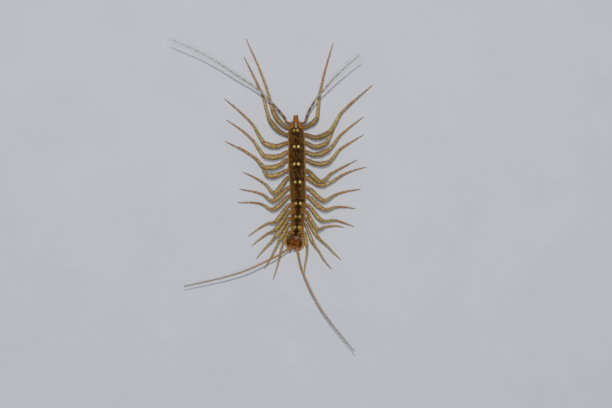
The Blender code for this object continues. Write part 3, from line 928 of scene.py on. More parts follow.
def headPoint(t, a):
    # t runs from the back of the head to its front, a round it
    forward = lerp(capsule["rear"], capsule["front"], t)
    first, last = head["stations"][0][0], head["stations"][-1][0]
    halfWidth, halfHeight = tableAt(head["stations"], min(max(forward, first), last))
    turnOver = capsule["turnOver"]
    ends = lerp(capsule["endSize"], 1.0, math.sqrt(max(0.0, min(t / turnOver, 1.0, (1 - t) / turnOver))))
    c, s = math.cos(a), math.sin(a)
    exponent = 2 / head["squareness"]
    out = halfWidth * signedPower(c, exponent) * ends
    up = halfHeight * signedPower(s, exponent) * ends
    upward = max(s, 0.0)
    lift = 0.0
    # the fork of the suture that runs from the neck to the antennae
    fork = abs(out) - max(0.0, forward + 0.15) * 0.62
    lift -= 0.045 * hump(fork, 0.0, 0.045) * upward * fade(1.1, 0.6, forward)
    lift += 0.05 * hump(out, 0.0, 0.42) * hump(forward, 0.45, 0.5) * upward
    # cheeks, brow and the raised rim at the back
    lift += 0.06 * hump(abs(out), 0.85, 0.35) * hump(forward, -0.35, 0.45) * upward
    lift += 0.05 * hump(forward, -1.0, 0.09)
    lift -= 0.05 * hump(forward, -0.82, 0.08)
    # a pit for each eye, and a low rim round the root of each antenna
    eye = head["eye"]
    fromEye = (abs(out) - eye["out"], forward - eye["forward"], up - eye["up"])
    toEye = math.hypot(*(distance / reach for distance, reach in zip(fromEye, eye["pit"])))
    pit = 0.30 * hump(toEye, 0.0, 0.80) - 0.06 * hump(toEye, 1.25, 0.16)
    socketOut, socketForward, socketUp = capsule["socket"]
    toSocket = math.hypot(abs(out) - socketOut, forward - socketForward, (up - socketUp) * 0.8)
    lift += 0.09 * hump(toSocket, 0.34, 0.09) - 0.06 * hump(toSocket, 0.0, 0.2)
    lift += capsule["clypeus"] * hump(out, 0.0, 0.4) * hump(forward, 1.3, 0.3)
    lift += 0.03 * noise.noise(Vector((out * 1.6, forward * 1.6, up * 1.6 + 7)))
    rounder = lift - pit
    away = Vector((out / max(halfWidth, 0.2), 0, up / max(halfHeight, 0.2)))
    away = away.normalized() if away.length > 0 else Vector((0, 0, 1))
    place = inHead(out + away.x * rounder, forward, up + away.z * rounder)
    red = 0.8 * hump(out, 0.0, 0.55) * hump(forward, 0.25, 0.6) * upward
    dark = 0.7 * hump(abs(out), 0.66, 0.28) * fade(-0.45, -0.85, forward)
    dark = max(dark, 0.7 * hump(toEye, 1.15, 0.18))
    dark = max(dark, 0.45 * hump(fork, 0.0, 0.06) * upward * (forward < 1.0))
    pale = 0.35 * hump(out, 0.2, 0.26) * fade(-0.66, -0.86, forward) * upward
    brow = 0.8 * fade(0.62, 1.0, forward) * (1 - 0.6 * dark)
    return place, {"red": red, "dark": dark, "pale": pale, "brow": brow}


def makeHead():
    shape = newShape("red", "dark", "pale", "brow")
    rings = []
    for j in range(capsule["rings"] + 1):
        # rings lie closer together at both ends, where the capsule turns over
        t = 0.5 - 0.5 * math.cos(math.pi * j / capsule["rings"])
        rings.append([headPoint(t, a) for a in angles(capsule["sides"])])
    addRings(shape, rings)
    makePiece(shape, "headCapsule", finishes["head"], "head_capsule", "head")


def makeEye(side):
    # a fine ball with a low dome for every facet
    eye = head["eye"]
    coarse = bmesh.new()
    bmesh.ops.create_icosphere(coarse, subdivisions=4, radius=1.0)
    centres = [vert.co.copy() for vert in coarse.verts]
    coarse.free()
    tree = KDTree(len(centres))
    for i, centre in enumerate(centres):
        tree.insert(centre, i)
    tree.balance()
    ball = bmesh.new()
    bmesh.ops.create_icosphere(ball, subdivisions=6, radius=1.0)
    shape = newShape("facet")
    for vert in ball.verts:
        distance = tree.find(vert.co)[2]
        dome = 1 - min(distance / eye["facetReach"], 1.0) ** 2
        grown = vert.co * (1 + eye["facetHeight"] * dome)
        x, y, z = (value * radius for value, radius in zip(grown, eye["radii"]))
        place = inHead(sideSign(side) * eye["out"] + x, eye["forward"] + y, eye["up"] + z)
        addPoint(shape, place, {"facet": dome})
    ball.verts.index_update()
    for face in ball.faces:
        addFace(shape, *(vert.index for vert in face.verts))
    ball.free()
    makePiece(shape, f"eye_{side}", finishes["eye"], "eye", f"eye_{side}")


makeHead()
for side in ("left", "right"):
    makeEye(side)
print("head and eyes made")


# Mouthparts and poison claws, below the head
jaws = {
    "claws": {
        "left": (
            (2.25, -0.35, 0.70), (2.05, 0.75, 0.60), (1.50, 1.45, 0.55), (0.95, 1.60, 0.55),
        ),
        "right": (
            (2.10, -0.25, 0.70), (1.86, 0.75, 0.60), (1.40, 1.45, 0.55), (0.90, 1.55, 0.55),
        ),
    },
    "clawRoot": (-9.5, 0.95),
    "clawInside": (5.9, -0.1, 0.15),  # its hidden end: sideways place, and how far before and above the root
    "clawOut": 0.55,
    "clawJoints": ((1.45, 0.12), (2.5, 0.13), (3.3, 0.11), (3.85, 0.08)),
    "clawThick": ((0.0, 0.36), (1.0, 0.33), (2.0, 0.32), (3.0, 0.29), (4.0, 0.17), (5.0, 0.03)),
    "palps": {
        "left": (
            ((0.80, 1.50, 1.25), (1.25, 2.05, 1.10), (1.62, 2.35, 0.90)),
            ((0.30, 1.15, 1.05), (0.42, 1.75, 0.92), (0.38, 2.15, 0.72)),
        ),
        "right": (
            ((0.40, 1.65, 1.25), (0.62, 2.20, 1.05), (0.70, 2.65, 0.80)),
            ((0.95, 1.20, 1.15), (1.35, 1.60, 1.02), (1.60, 1.95, 0.85)),
        ),
    },
    "palpInside": (0.8, 0.7, -0.75),  # its hidden end: share of the first bend's place, forward, up
    "palpJoints": ((1.0, 0.14), (1.7, 0.14), (2.3, 0.14)),
    "palpThick": ((0.0, 0.25), (1.0, 0.25), (1.6, 0.21), (2.2, 0.2), (3.0, 0.07)),
}


def makeClaw(side):
    sign = sideSign(side)
    along, height = jaws["clawRoot"]
    inside, before, above = jaws["clawInside"]
    aside = sign * jaws["clawOut"]
    stops = [
        (Vector((inside + aside, along + before, height + above)), 0.0),
        (Vector((flankAt(side, along) + aside, along, height)), 0.4),
    ]
    for out, forward, up in jaws["claws"][side]:
        stops.append((inHead(sign * out, forward, up - head["middle"][2]), 0.55))
    steps = measured(easedPath(stops))
    stations = stationsAlong(steps, lambda bend: 0.05)
    pinch = pinchedAt(steps, jaws["clawJoints"])

    def radiusAt(bend, along):
        return tableAt(jaws["clawThick"], bend)[0] * pinch(along)

    def shapeAt(bend, along, a):
        return 1 + 0.03 * math.sin(3 * a + along) + 0.03 * noise.noise(Vector((along * 2, a, 5)))

    shape = newShape("bend")
    addRings(shape, limbRings(stations, radiusAt, shapeAt, 20))
    makePiece(shape, f"forcipule_{side}", finishes["claw"], "claw", f"forcipule_{side}")


def makePalps(side):
    sign = sideSign(side)
    share, insideForward, insideUp = jaws["palpInside"]
    shape = newShape("bend")
    for bends in jaws["palps"][side]:
        stops = [(inHead(sign * bends[0][0] * share, insideForward, insideUp), 0.0)]
        for out, forward, up in bends:
            stops.append((inHead(sign * out, forward, up - head["middle"][2]), 0.3))
        steps = measured(easedPath(stops))
        pinch = pinchedAt(steps, jaws["palpJoints"])

        def radiusAt(bend, along, pinch=pinch):
            return tableAt(jaws["palpThick"], bend)[0] * pinch(along)

        addRings(shape, limbRings(stationsAlong(steps, lambda bend: 0.045), radiusAt, evenRound, 16))
    makePiece(shape, f"palp_{side}", finishes["palp"], "palp", f"palp_{side}")


jawPlate = {
    "rear": -1.75,
    "front": 1.28,
    "halfWidths": (0.95, 1.12),  # at its rear end and where it is widest
    "thick": 0.36,
    "height": -0.86,
    "rings": 40,
    "sides": 40,
}


def makeJawPlate():
    # the broad plate that carries the claws beneath the head, with a raised seam and a crease below
    shape = newShape("red", "dark", "pale", "brow")
    rings = []
    for j in range(jawPlate["rings"] + 1):
        t = j / jawPlate["rings"]
        forward = lerp(jawPlate["rear"], jawPlate["front"], t)
        halfWidth = lerp(*jawPlate["halfWidths"], fade(0, 0.3, t)) * (1 - 0.62 * fade(0.5, 1.0, t))
        thick = jawPlate["thick"] * (1 - 0.55 * fade(0.6, 1.0, t)) * fade(-0.12, 0.08, t)
        ring = []
        for a in angles(jawPlate["sides"]):
            c, s = math.cos(a), math.sin(a)
            out = halfWidth * signedPower(c, 0.75)
            up = jawPlate["height"] + thick * signedPower(s, 0.8)
            if s < 0:
                up += 0.07 * hump(out, 0.0, 0.06)
                up += 0.04 * hump(forward, -0.6, 0.07)
            painted = {"red": 0.3, "dark": 0.6 * hump(out, 0.0, 0.07), "pale": 0.25}
            ring.append((inHead(out, forward, up), painted))
        rings.append(ring)
    addRings(shape, rings)
    makePiece(shape, "jawPlate", finishes["head"], "head_capsule")


makeJawPlate()
for side in ("left", "right"):
    makeClaw(side)
    makePalps(side)
print("mouthparts made")


# Walking legs. Each bend is: out from the middle line, back from the leg's root, height.
# The bends are hip, knee, ankle, middle of the foot and tip.
legs = {
    "middleLine": 6.1,
    "stub": 0.25,
    "tipHeight": 0.06,
    "bends": {
        "right": (
            ((2.75, -1.25, 1.68), (3.35, -2.6, 1.95), (3.9, -4.4, 1.10), (4.2, -6.5, 0.50), (5.7, -11.4)),
            ((3.0, -1.85, 2.02), (4.2, -3.6, 2.25), (5.4, -6.2, 1.05), (6.3, -8.1, 0.45), (7.8, -10.6)),
            ((3.05, -1.6, 2.12), (5.3, -4.4, 2.40), (6.8, -6.2, 1.10), (8.0, -7.5, 0.50), (9.7, -9.6)),
            ((3.1, -1.7, 2.42), (5.4, -4.4, 2.70), (6.8, -5.0, 1.15), (8.5, -6.2, 0.50), (10.8, -8.1)),
            ((3.15, -1.4, 2.20), (5.2, -4.0, 2.75), (6.8, -4.2, 1.20), (8.6, -5.2, 0.55), (11.6, -7.4)),
            ((3.1, -1.1, 1.90), (5.8, -3.2, 2.45), (8.0, -2.0, 1.30), (9.9, -1.4, 0.55), (14.0, -1.5)),
            ((3.1, -0.9, 1.90), (5.9, -3.2, 2.65), (7.9, -1.6, 1.35), (9.9, -0.9, 0.60), (13.7, -0.3)),
            ((3.2, -1.2, 1.90), (5.5, -3.8, 2.75), (7.3, -1.6, 1.35), (9.8, 0.0, 0.55), (12.9, 1.4)),
            ((4.0, -0.8, 1.90), (7.2, -1.2, 2.40), (8.5, 1.3, 1.10), (11.3, 4.1, 0.35), (14.1, 5.8)),
            ((3.8, -1.1, 2.05), (7.7, -1.8, 3.15), (9.8, 0.5, 1.60), (13.0, 2.5, 0.90), (17.2, 4.5)),
            ((3.8, -0.9, 1.85), (7.9, -0.9, 2.45), (10.3, 2.7, 1.20), (13.1, 5.3, 0.50), (16.8, 7.7)),
            ((4.6, -0.8, 1.85), (8.0, 0.1, 2.40), (10.5, 4.5, 1.20), (13.6, 7.5, 0.50), (17.4, 10.7)),
            ((4.2, 0.8, 1.95), (6.7, 3.8, 2.55), (8.1, 9.4, 1.50), (10.3, 13.9, 0.70), (12.7, 18.7)),
            ((3.7, 0.8, 2.00), (5.8, 4.0, 2.50), (7.1, 9.0, 1.45), (9.1, 14.4, 0.70), (12.2, 21.2)),
        ),
        "left": (
            ((2.05, -1.2, 1.75), (2.4, -3.4, 1.90), (2.4, -5.4, 1.00), (1.9, -7.8, 0.40), (1.8, -9.7)),
            ((2.8, -1.9, 1.85), (3.9, -4.5, 2.15), (5.2, -6.3, 1.05), (6.4, -8.6, 0.45), (8.2, -10.6)),
            ((3.15, -1.3, 1.75), (5.1, -4.5, 2.05), (6.9, -6.2, 1.10), (8.5, -8.0, 0.50), (10.5, -9.9)),
            ((3.1, -1.4, 2.40), (4.9, -4.2, 2.95), (6.7, -3.5, 1.25), (9.1, -3.3, 0.45), (11.2, -3.7)),
            ((3.6, -1.0, 1.90), (5.9, -3.7, 2.35), (9.0, -3.5, 1.15), (11.2, -4.2, 0.50), (13.5, -5.1)),
            ((3.4, -0.7, 1.90), (6.6, -3.2, 2.55), (9.1, -2.5, 1.30), (11.2, -2.5, 0.55), (13.8, -2.9)),
            ((3.5, -0.6, 1.95), (6.4, -3.1, 2.65), (9.0, -1.6, 1.35), (11.5, -0.8, 0.55), (15.1, -0.3)),
            ((3.6, -0.7, 1.70), (6.5, -1.7, 2.20), (10.4, 0.5, 1.15), (12.7, 1.6, 0.50), (16.4, 2.6)),
            ((3.4, -0.8, 2.30), (5.7, -2.8, 3.40), (7.9, -0.8, 1.60), (11.0, 0.9, 0.60), (14.4, 2.6)),
            ((3.9, -0.7, 1.85), (7.6, -0.5, 2.40), (10.1, 2.6, 1.20), (12.7, 4.2, 0.50), (15.9, 6.1)),
            ((3.8, -0.6, 1.85), (7.5, 0.5, 2.40), (10.1, 3.9, 1.20), (12.7, 6.1, 0.50), (15.9, 8.5)),
            ((4.0, -0.9, 1.85), (7.1, 0.0, 2.35), (9.2, 5.0, 1.20), (11.8, 8.8, 0.45), (14.9, 11.2)),
            ((4.3, -0.7, 2.05), (7.9, 0.8, 3.35), (10.3, 5.1, 1.80), (13.5, 8.1, 1.00), (18.0, 11.9)),
            ((2.9, 0.6, 2.00), (4.8, 2.2, 2.50), (5.4, 8.1, 1.50), (6.7, 13.7, 0.70), (8.6, 20.1)),
        ),
    },
    # bend number, radius: 0 inside the trunk, 1 flank, 2 hip, 4 knee, 6 ankle, 8 tip
    "thick": (
        (0.0, 0.42), (0.9, 0.47), (1.3, 0.48), (2.0, 0.53), (3.0, 0.58), (3.6, 0.52), (4.0, 0.42),
        (4.5, 0.37), (5.2, 0.34), (6.0, 0.27), (6.4, 0.25), (7.0, 0.22), (7.6, 0.16), (8.0, 0.09),
    ),
    "frontScale": 0.66,
    "fullSizeLeg": 9,
    "thinnest": 0.25,
    "thighBow": (0.18, 0.34),
    "shinBow": (0.10, 0.20),
    "eases": (0.12, 0.35, 0.50, 0.40, 0.50, 1.3, 2.2),
    "sides": 14,
    "ridge": 0.035,
    "footRing": 0.34,  # length of one ring of the whip-like foot
    "joints": ((1, 0.13), (2, 0.13), (4, 0.17), (6, 0.16)),  # bend number, how deep it is pinched
    "spur": 0.42,
    "spurs": ((2, 0.7), (4, 1.0), (6, 0.8)),  # bend number, share of the full length
    "spurAngles": (0.6, 2.4, 3.9, 5.5),
    "claw": 0.26,
    "clawSpread": 0.25,
    # how dull the thighs of legs 1 to 8, 9 to 12, and 13 and 14 are
    "dimThighs": {"left": (0.0, 0.28, 0.42), "right": (0.0, 0.0, 0.38)},
}


def legScale(number, front, full):
    return lerp(front, full, min((number - 1) / (legs["fullSizeLeg"] - 1), 1.0))


def legRoot(side, number, depth):
    # where a leg leaves the trunk: a point inside the flank, and the end of its short stub
    along = trunk["legRoots"][number - 1]
    sign = sideSign(side)
    height = trunk["rootHeight"] if number < 15 else trunk["lastRootHeight"]
    middle, halfWidth = tableAt(trunk["line"], along)
    inner = Vector((middle + sign * halfWidth * depth, along + 0.12, height - 0.3))
    return inner, Vector((flankAt(side, along) + sign * (gap + legs["stub"]), along, height))


def legBend(side, number, bend):
    # a bend without a height is a tip on the floor
    out, back, height = (*bend, legs["tipHeight"])[:3]
    return Vector((legs["middleLine"] + sideSign(side) * out, trunk["legRoots"][number - 1] + back, height))


def makeWalkingLeg(side, number):
    scale = legScale(number, legs["frontScale"], 1.0)
    hip, knee, ankle, foot, tip = (legBend(side, number, bend) for bend in legs["bends"][side][number - 1])
    thigh = hip.lerp(knee, 0.5) - Vector((0, legScale(number, *legs["thighBow"]), 0))
    shin = knee.lerp(ankle, 0.5) - Vector((0, legScale(number, *legs["shinBow"]), 0))
    inner, elbow = legRoot(side, number, 0.55)
    points = (inner, elbow, hip, thigh, knee, shin, ankle, foot, tip)
    steps = measured(easedPath(list(zip(points, (0.0, *legs["eases"], 0.0)))))
    at = {bend: distanceOfBend(steps, bend) for bend, depth in legs["joints"]}
    footStart = at[6]
    pinch = pinchedAt(steps, legs["joints"])
    taste = random.Random(f"{side} leg {number}")
    tone = taste.uniform(-1, 1)
    dimness = legs["dimThighs"][side][(number > 8) + (number > 12)]

    def radiusAt(bend, along):
        thick = tableAt(legs["thick"], bend)[0]
        thick = max(thick * scale, min(thick, legs["thinnest"]))
        thick *= pinch(along)
        inFoot = fade(0.0, 0.4, along - footStart)
        return thick * (1 + inFoot * (0.085 * ringPhase(along, footStart, legs["footRing"]) - 0.05))

    def shapeAt(bend, along, a):
        ridged = fade(1.05, 1.4, bend) * (1 - fade(5.6, 6.1, bend))
        flatter = 1 + 0.05 * ridged * math.cos(2 * a)
        lumps = 0.02 * noise.noise(Vector((along * 2.5, a, tone)))
        return flatter + legs["ridge"] * ridged * math.cos(7 * a) + lumps

    stations = stationsAlong(steps, lambda bend: 0.14 if bend < 5.9 else 0.068)
    rings = limbRings(stations, radiusAt, shapeAt, legs["sides"])
    for painted in paintsOf(rings):
        bend, along, top, awayFromLight = (painted[key] for key in ("bend", "along", "top", "awayFromLight"))
        thighPart = fade(1.3, 2.2, bend) * (1 - fade(3.6, 4.0, bend))
        shinPart = fade(4.2, 4.6, bend) * (1 - fade(5.5, 5.9, bend))
        painted["fleck"] = (0.85 * thighPart + 0.45 * shinPart) * fade(0.1, 0.7, top)
        # a grey-olive tint over the whole leg, plus painted shade on the thighs and shins, on the side away
        # from the key light
        painted["greyAndPaintedShade"] = 0.22 + 0.36 * (thighPart + 0.5 * shinPart) * fade(0.15, 0.85, awayFromLight)
        phase = ringPhase(along, footStart, legs["footRing"])
        banded = 0.55 * hump(phase, 0.04, 0.13) * fade(0.0, 0.3, along - footStart)
        atJoint = max(hump(along, joint + 0.05, 0.07) for joint in at.values())
        painted["ring"] = max(banded, 0.75 * atJoint)
        painted["wan"] = 0.55 * fade(6, 3, number) * fade(4.6, 6.0, bend)
        painted["dim"] = dimness * (1 - fade(3.4, 4.4, bend)) + 0.12 * max(tone, 0)
    shape = newShape("bend", "fleck", "greyAndPaintedShade", "ring", "dim", "wan")
    addRings(shape, rings)
    # spurs at the far end of the thigh pieces and the shin, and two small claws
    for bend, share in legs["spurs"]:
        point, here, along, way = min(stations, key=lambda station: abs(station[2] - at[bend] + 0.1))
        for a in legs["spurAngles"]:
            out = limbOut(way, a)
            base = point + out * radiusAt(here, along) * 0.85
            length = legs["spur"] * share * legScale(number, 0.7, 1.0) * taste.uniform(0.8, 1.15)
            addThorn(shape, base, way * 0.9 + out * 0.55, length, 0.05, 7, {"bend": here, "greyAndPaintedShade": 0.9})
    point, here, along, way = stations[-1]
    forward = Vector((way.x, way.y, 0)).normalized()
    aside = Vector((-forward.y, forward.x, 0)) * legs["clawSpread"]
    for direction in (forward - aside, forward + aside):
        addThorn(shape, point, direction, legs["claw"], 0.05, 6, {"bend": 8.0, "greyAndPaintedShade": 0.8})
    name = f"leg_{side}_{number:02d}"
    makePiece(shape, name, finishes["leg"], "leg", name)
    return stations, radiusAt


lastPair = {
    "bends": {
        "right": (
            (3.2, 1.8, 2.45), (5.5, 4.3, 3.50), (9.2, 8.0, 4.80), (14.7, 11.5, 6.35), (19.0, 14.4, 7.40),
            (23.4, 16.9, 8.10), (30.2, 19.8, 8.70),
        ),
        "left": (
            (2.9, 3.3, 3.05), (5.0, 6.2, 4.50), (8.2, 9.9, 6.70), (11.4, 13.1, 8.20), (14.9, 15.9, 9.00),
        ),
    },
    "elbowEase": 0.55,  # how far from its corner the bend beside the tail starts
    "ease": 2.2,  # and the other bends
    "joints": ((1.0, 0.12), (1.9, 0.14), (2.6, 0.14), (3.2, 0.12)),
    "whipBend": 3.2,  # where the ringed, whip-like end starts
    "thick": 0.26,
    "thin": 0.10,
    "ring": 0.36,
    "sides": 14,
}


def makeTrailingLeg(side):
    number = 15
    inner, elbow = legRoot(side, number, 0.35)
    bends = lastPair["bends"][side]
    stops = [(inner, 0.0), (elbow, lastPair["elbowEase"])]
    stops += [(legBend(side, number, bend), lastPair["ease"]) for bend in bends]
    steps = measured(easedPath(stops))
    whipStart = distanceOfBend(steps, lastPair["whipBend"])
    pinch = pinchedAt(steps, lastPair["joints"])

    def radiusAt(bend, along):
        thick = lerp(lastPair["thick"], lastPair["thin"], max(bend - 1, 0.0) / len(bends))
        phase = ringPhase(along, whipStart, lastPair["ring"])
        return thick * pinch(along) * (1 + (0.10 * phase - 0.05) * fade(0.0, 0.4, along - whipStart))

    def shapeAt(bend, along, a):
        return 1 + 0.03 * math.cos(6 * a) * (along < whipStart)

    stations = stationsAlong(steps, lambda bend: 0.07)
    rings = limbRings(stations, radiusAt, shapeAt, lastPair["sides"])
    for painted in paintsOf(rings):
        phase = ringPhase(painted["along"], whipStart, lastPair["ring"])
        painted["ring"] = 0.25 * hump(phase, 0.04, 0.14) * (painted["along"] > whipStart)
    shape = newShape("bend", "along", "ring")
    addRings(shape, rings)
    name = f"leg_{side}_{number}"
    makePiece(shape, name, finishes["trailing"], "trailing_leg", name)
    return stations, radiusAt


feelers = {
    "root": {"left": (1.06, 1.72, 0.15), "right": (0.92, 1.70, 0.15)},
    "inside": (0.80, 0.85, 0.12),
    # place and radius
    "left": (
        (6.45, -14.5, 2.75, 0.25), (6.8, -16.5, 3.30, 0.25), (8.1, -20.0, 3.90, 0.25),
        (10.0, -24.1, 4.05, 0.24), (12.5, -28.3, 3.85, 0.23), (15.5, -32.2, 3.60, 0.19),
        (19.8, -37.4, 3.45, 0.12),
    ),
    "right": (
        (3.6, -13.1, 2.65, 0.26), (1.9, -14.3, 3.20, 0.25), (-1.8, -16.1, 4.00, 0.25),
        (-6.4, -18.2, 4.20, 0.24), (-11.9, -19.8, 3.90, 0.22), (-17.2, -21.0, 3.55, 0.17),
        (-20.9, -21.8, 3.45, 0.12),
    ),
    "slender": (0.86, 0.66),  # how thick the feelers are beside their solids, at the root and further out
    "rootThick": 0.28,
    "ease": 2.4,
    "ring": 0.26,
    "rootJoint": 1.1,  # length of the two stout first joints
    "olive": {"left": 0.7, "right": 0.15},  # how olive the feeler is near its root
    "sides": 14,
}


def makeFeeler(side):
    out, forward, up = feelers["root"][side]
    inOut, inForward, inUp = feelers["inside"]
    sign = sideSign(side)
    bends = feelers[side]
    thick = [(0.0, feelers["rootThick"]), (1.0, bends[0][3])]
    thick += [(i + 2.0, bend[3] * lerp(*feelers["slender"], min(i / 3, 1.0))) for i, bend in enumerate(bends)]
    stops = [(inHead(sign * inOut, inForward, inUp), 0.0), (inHead(sign * out, forward, up), 0.3)]
    stops += [(Vector(bend[:3]), feelers["ease"]) for bend in bends]
    steps = measured(easedPath(stops))
    root = distanceOfBend(steps, 1.0)
    rootEnd = root + feelers["rootJoint"]
    pinch = segmentEnds([(root + 0.1, 0.14), (rootEnd - 0.4, 0.16), (rootEnd, 0.12)])

    def radiusAt(bend, along):
        phase = ringPhase(along, rootEnd, feelers["ring"])
        beaded = 0.045 * math.sin(math.pi * phase)
        for end in (0.0, 1.0):
            beaded -= 0.07 * hump(phase, end, 0.12)
        return tableAt(thick, bend)[0] * pinch(along) * (1 + beaded * fade(0.0, 0.3, along - rootEnd))

    stations = stationsAlong(steps, lambda bend: 0.055)
    rings = limbRings(stations, radiusAt, evenRound, feelers["sides"])
    for painted in paintsOf(rings):
        along = painted["along"]
        phase = ringPhase(along, rootEnd, feelers["ring"])
        painted["ring"] = 0.45 * (hump(phase, 0.0, 0.2) + hump(phase, 1.0, 0.2)) * (along > rootEnd)
        painted["olive"] = feelers["olive"][side] * fade(1.4, 2.4, along) * fade(7.0, 4.6, along)
    shape = newShape("along", "ring", "olive")
    addRings(shape, rings)
    makePiece(shape, f"antenna_{side}", finishes["antenna"], "antenna", f"antenna_{side}")
    return stations, radiusAt


tail = {
    "front": 17.6,
    "tip": 19.0,
    "halfWidth": 0.68,
    "height": 1.95,
    "rings": 40,
    "sides": 48,
    # along the cone: share of the half width, half height
    "stations": (
        (0.0, 0.98, 0.64), (0.35, 0.92, 0.60), (0.7, 0.78, 0.50), (0.9, 0.62, 0.38), (1.0, 0.36, 0.2),
    ),
    # two points at its end; each bend is: out from the middle line, place along the body, rise, ease
    "pointsMiddleAt": 18.4,
    "pointBends": ((0.22, 18.2, 0.0, 0.0), (0.38, 18.8, -0.02, 0.3)),
    "pointEnds": {"left": (0.30, 19.35, 0.02, 0.0), "right": (0.30, 19.2, 0.02, 0.0)},
    "pointThick": ((0.0, 0.2), (1.0, 0.17), (1.6, 0.11), (2.0, 0.03)),
}


def pointRadius(bend, along):
    return tableAt(tail["pointThick"], bend)[0]


def makeTail():
    shape = newShape("pale")
    rings = []
    for j in range(tail["rings"] + 1):
        t = j / tail["rings"]
        along = lerp(tail["front"], tail["tip"], t)
        share, halfHeight = tableAt(tail["stations"], t)
        middle = tableAt(trunk["line"], along)[0]
        ring = []
        for a in angles(tail["sides"]):
            c, s = math.cos(a), math.sin(a)
            fold = 0.03 * hump(t, 0.42, 0.05) + 0.035 * hump(c, 0.0, 0.12) * (s > 0)
            lump = 0.02 * noise.noise(Vector((c * 2, s * 2, along * 2)))
            x = middle + (tail["halfWidth"] * share - fold + lump) * c
            z = tail["height"] + (halfHeight - fold + lump) * s
            ring.append((Vector((x, along, z)), {"pale": 0.6 * hump(c, 0.0, 0.35) * (s > 0) * (1 - t)}))
        rings.append(ring)
    addRings(shape, rings)
    middle = tableAt(trunk["line"], tail["pointsMiddleAt"])[0]
    for side, end in tail["pointEnds"].items():
        stops = []
        for out, along, rise, ease in (*tail["pointBends"], end):
            stops.append((Vector((middle + sideSign(side) * out, along, tail["height"] + rise)), ease))
        stations = stationsAlong(measured(easedPath(stops)), lambda bend: 0.06)
        addRings(shape, limbRings(stations, pointRadius, evenRound, 14))
    makePiece(shape, "tailCone", finishes["tail"], "tail_cone", "tail")


limbs = {}
for side in ("left", "right"):
    for number in range(1, 15):
        limbs[f"{side}{number}"] = makeWalkingLeg(side, number)
    limbs[f"{side}15"] = makeTrailingLeg(side)
    limbs[f"{side}Feeler"] = makeFeeler(side)
makeTail()
print("legs, antennae and tail made:", len(limbs))


# Bristles: short solid thorns on the limbs and the back plates
bristles = {
    "perMillimetre": 10.0,
    "length": (0.14, 0.30),
    "radius": 0.019,
    "lean": 0.75,  # how much they lie towards the limb's end
    "footShare": 0.75,  # their length on the feet
    "lowest": 0.12,  # none are rooted closer to the floor
    "perPlate": 70,
    "plateLength": (0.09, 0.19),
    "plateRadius": 0.014,
    "plateCentre": 1.2,  # height that those of the plates point away from
    "mapGrid": (8, 4),  # columns and rows of limbs on the unwrapped map
}


def bristleLimb(shape, stations, radiusAt, place, taste):
    total = stations[-1][2]
    columns, rows = bristles["mapGrid"]
    for k in range(int(total * bristles["perMillimetre"])):
        point, bend, along, way = stations[taste.randrange(6, len(stations) - 1)]
        a = taste.uniform(0, 2 * math.pi)
        out = limbOut(way, a)
        base = point + out * radiusAt(bend, along) * 0.96
        if base.z < bristles["lowest"]:
            continue
        length = taste.uniform(*bristles["length"]) * (bristles["footShare"] if bend > 6 else 1.0)
        direction = out * (1 - bristles["lean"] * 0.5) + way * bristles["lean"]
        u = (place % columns + 0.1 + 0.8 * a / (2 * math.pi)) / columns
        v = (place // columns + 0.1 + 0.8 * along / total) / rows
        addThorn(shape, base, direction, length, bristles["radius"], 3, {"bend": bend}, patch=(u, v))


def makeBristles(side):
    taste = random.Random(f"{side} bristles")
    shape = newShape("bend")
    names = [name for name in limbs if name.startswith(side)]
    for place, name in enumerate(names):
        stations, radiusAt = limbs[name]
        bristleLimb(shape, stations, radiusAt, place, taste)
    makePiece(shape, f"limbBristles_{side}", finishes["bristle"], "leg")


def makePlateBristles():
    taste = random.Random("plate bristles")
    shape = newShape("bend")
    for number in range(1, len(trunk["plateEnds"])):
        for k in range(bristles["perPlate"]):
            v = taste.uniform(0.22, 0.97)
            a = taste.uniform(0.03, math.pi - 0.03)
            point = platePoint(number, v, a)[0]
            middle = tableAt(trunk["line"], point.y)[0]
            out = Vector((point.x - middle, 0, point.z - bristles["plateCentre"])).normalized()
            direction = out * 0.7 + Vector((0, 0.75, 0))
            patch = ((number - 1 + 0.1 + 0.8 * a / math.pi) / 8, 0.1 + 0.8 * v)
            length = taste.uniform(*bristles["plateLength"])
            addThorn(shape, point, direction, length, bristles["plateRadius"], 3, {}, patch=patch)
    makePiece(shape, "plateBristles", finishes["bristle"], "back_plate")


for side in ("left", "right"):
    makeBristles(side)
makePlateBristles()
print("bristles made")


# Floor, light and camera
studio = {
    "photoMiddle": (8.256, -2.112),  # place in the model under the middle of the photograph
    "photoWidth": 146.9,  # width that the photograph shows, at the floor
    "cameraHeight": 600.0,
    "floorSize": 3000.0,
    "keyFrom": (-21.0, 130.0, 520.0),
    "keySize": 22.0,
    "keyPower": 1.08,
    "keyColour": (1.0, 0.985, 0.96),
    "fillHeight": 700.0,
    "fillSize": 180.0,
    "fillPower": 1.56,
    "fillColour": (0.95, 0.97, 1.0),
    "worldBright": 0.135,
    "worldColour": (0.93, 0.95, 1.0, 1.0),
    "sensor": 36.0,
}


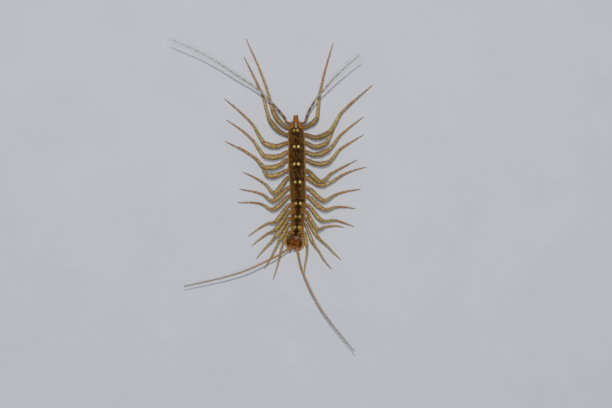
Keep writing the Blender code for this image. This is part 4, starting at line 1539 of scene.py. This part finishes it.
def makeFloor():
    x, y = studio["photoMiddle"]
    half = studio["floorSize"] / 2
    corners = ((x - half, y - half), (x + half, y - half), (x + half, y + half), (x - half, y + half))
    mesh = bpy.data.meshes.new("floor")
    mesh.from_pydata([(across * mm, along * mm, 0.0) for across, along in corners], [], [(0, 1, 2, 3)])
    mesh.materials.append(floorFinish())
    floor = bpy.data.objects.new("floor", mesh)
    bpy.context.scene.collection.objects.link(floor)


def aimAt(thing, target):
    way = Vector(target) - thing.location
    thing.rotation_euler = way.to_track_quat("-Z", "Y").to_euler()


def makeLight(name, place, size, power, colour):
    data = bpy.data.lights.new(name, "AREA")
    data.shape = "DISK"
    data.size = size * mm
    data.energy = power
    data.color = colour
    light = bpy.data.objects.new(name, data)
    light.location = [value * mm for value in place]
    bpy.context.scene.collection.objects.link(light)
    aimAt(light, (studio["photoMiddle"][0] * mm, studio["photoMiddle"][1] * mm, 0))


def makeStudio():
    x, y = studio["photoMiddle"]
    keyX, keyY, keyZ = studio["keyFrom"]
    keyPlace = (x + keyX, y + keyY, keyZ)
    fillPlace = (x, y, studio["fillHeight"])
    makeLight("window", keyPlace, studio["keySize"], studio["keyPower"], studio["keyColour"])
    makeLight("overhead", fillPlace, studio["fillSize"], studio["fillPower"], studio["fillColour"])
    world = bpy.data.worlds.new("soft room")
    world.use_nodes = True
    background = next(node for node in world.node_tree.nodes if node.type == "BACKGROUND")
    background.inputs["Color"].default_value = studio["worldColour"]
    background.inputs["Strength"].default_value = studio["worldBright"]
    bpy.context.scene.world = world
    bpy.context.scene.view_settings.view_transform = "Standard"
    lens = bpy.data.cameras.new("camera")
    lens.sensor_width = studio["sensor"]
    lens.lens = studio["sensor"] * studio["cameraHeight"] / studio["photoWidth"]
    lens.clip_start = 0.01
    camera = bpy.data.objects.new("camera", lens)
    camera.location = (x * mm, y * mm, studio["cameraHeight"] * mm)
    bpy.context.scene.collection.objects.link(camera)
    bpy.context.scene.camera = camera


makeFloor()
makeStudio()
print("floor, lights and camera made")

bpy.context.view_layer.update()
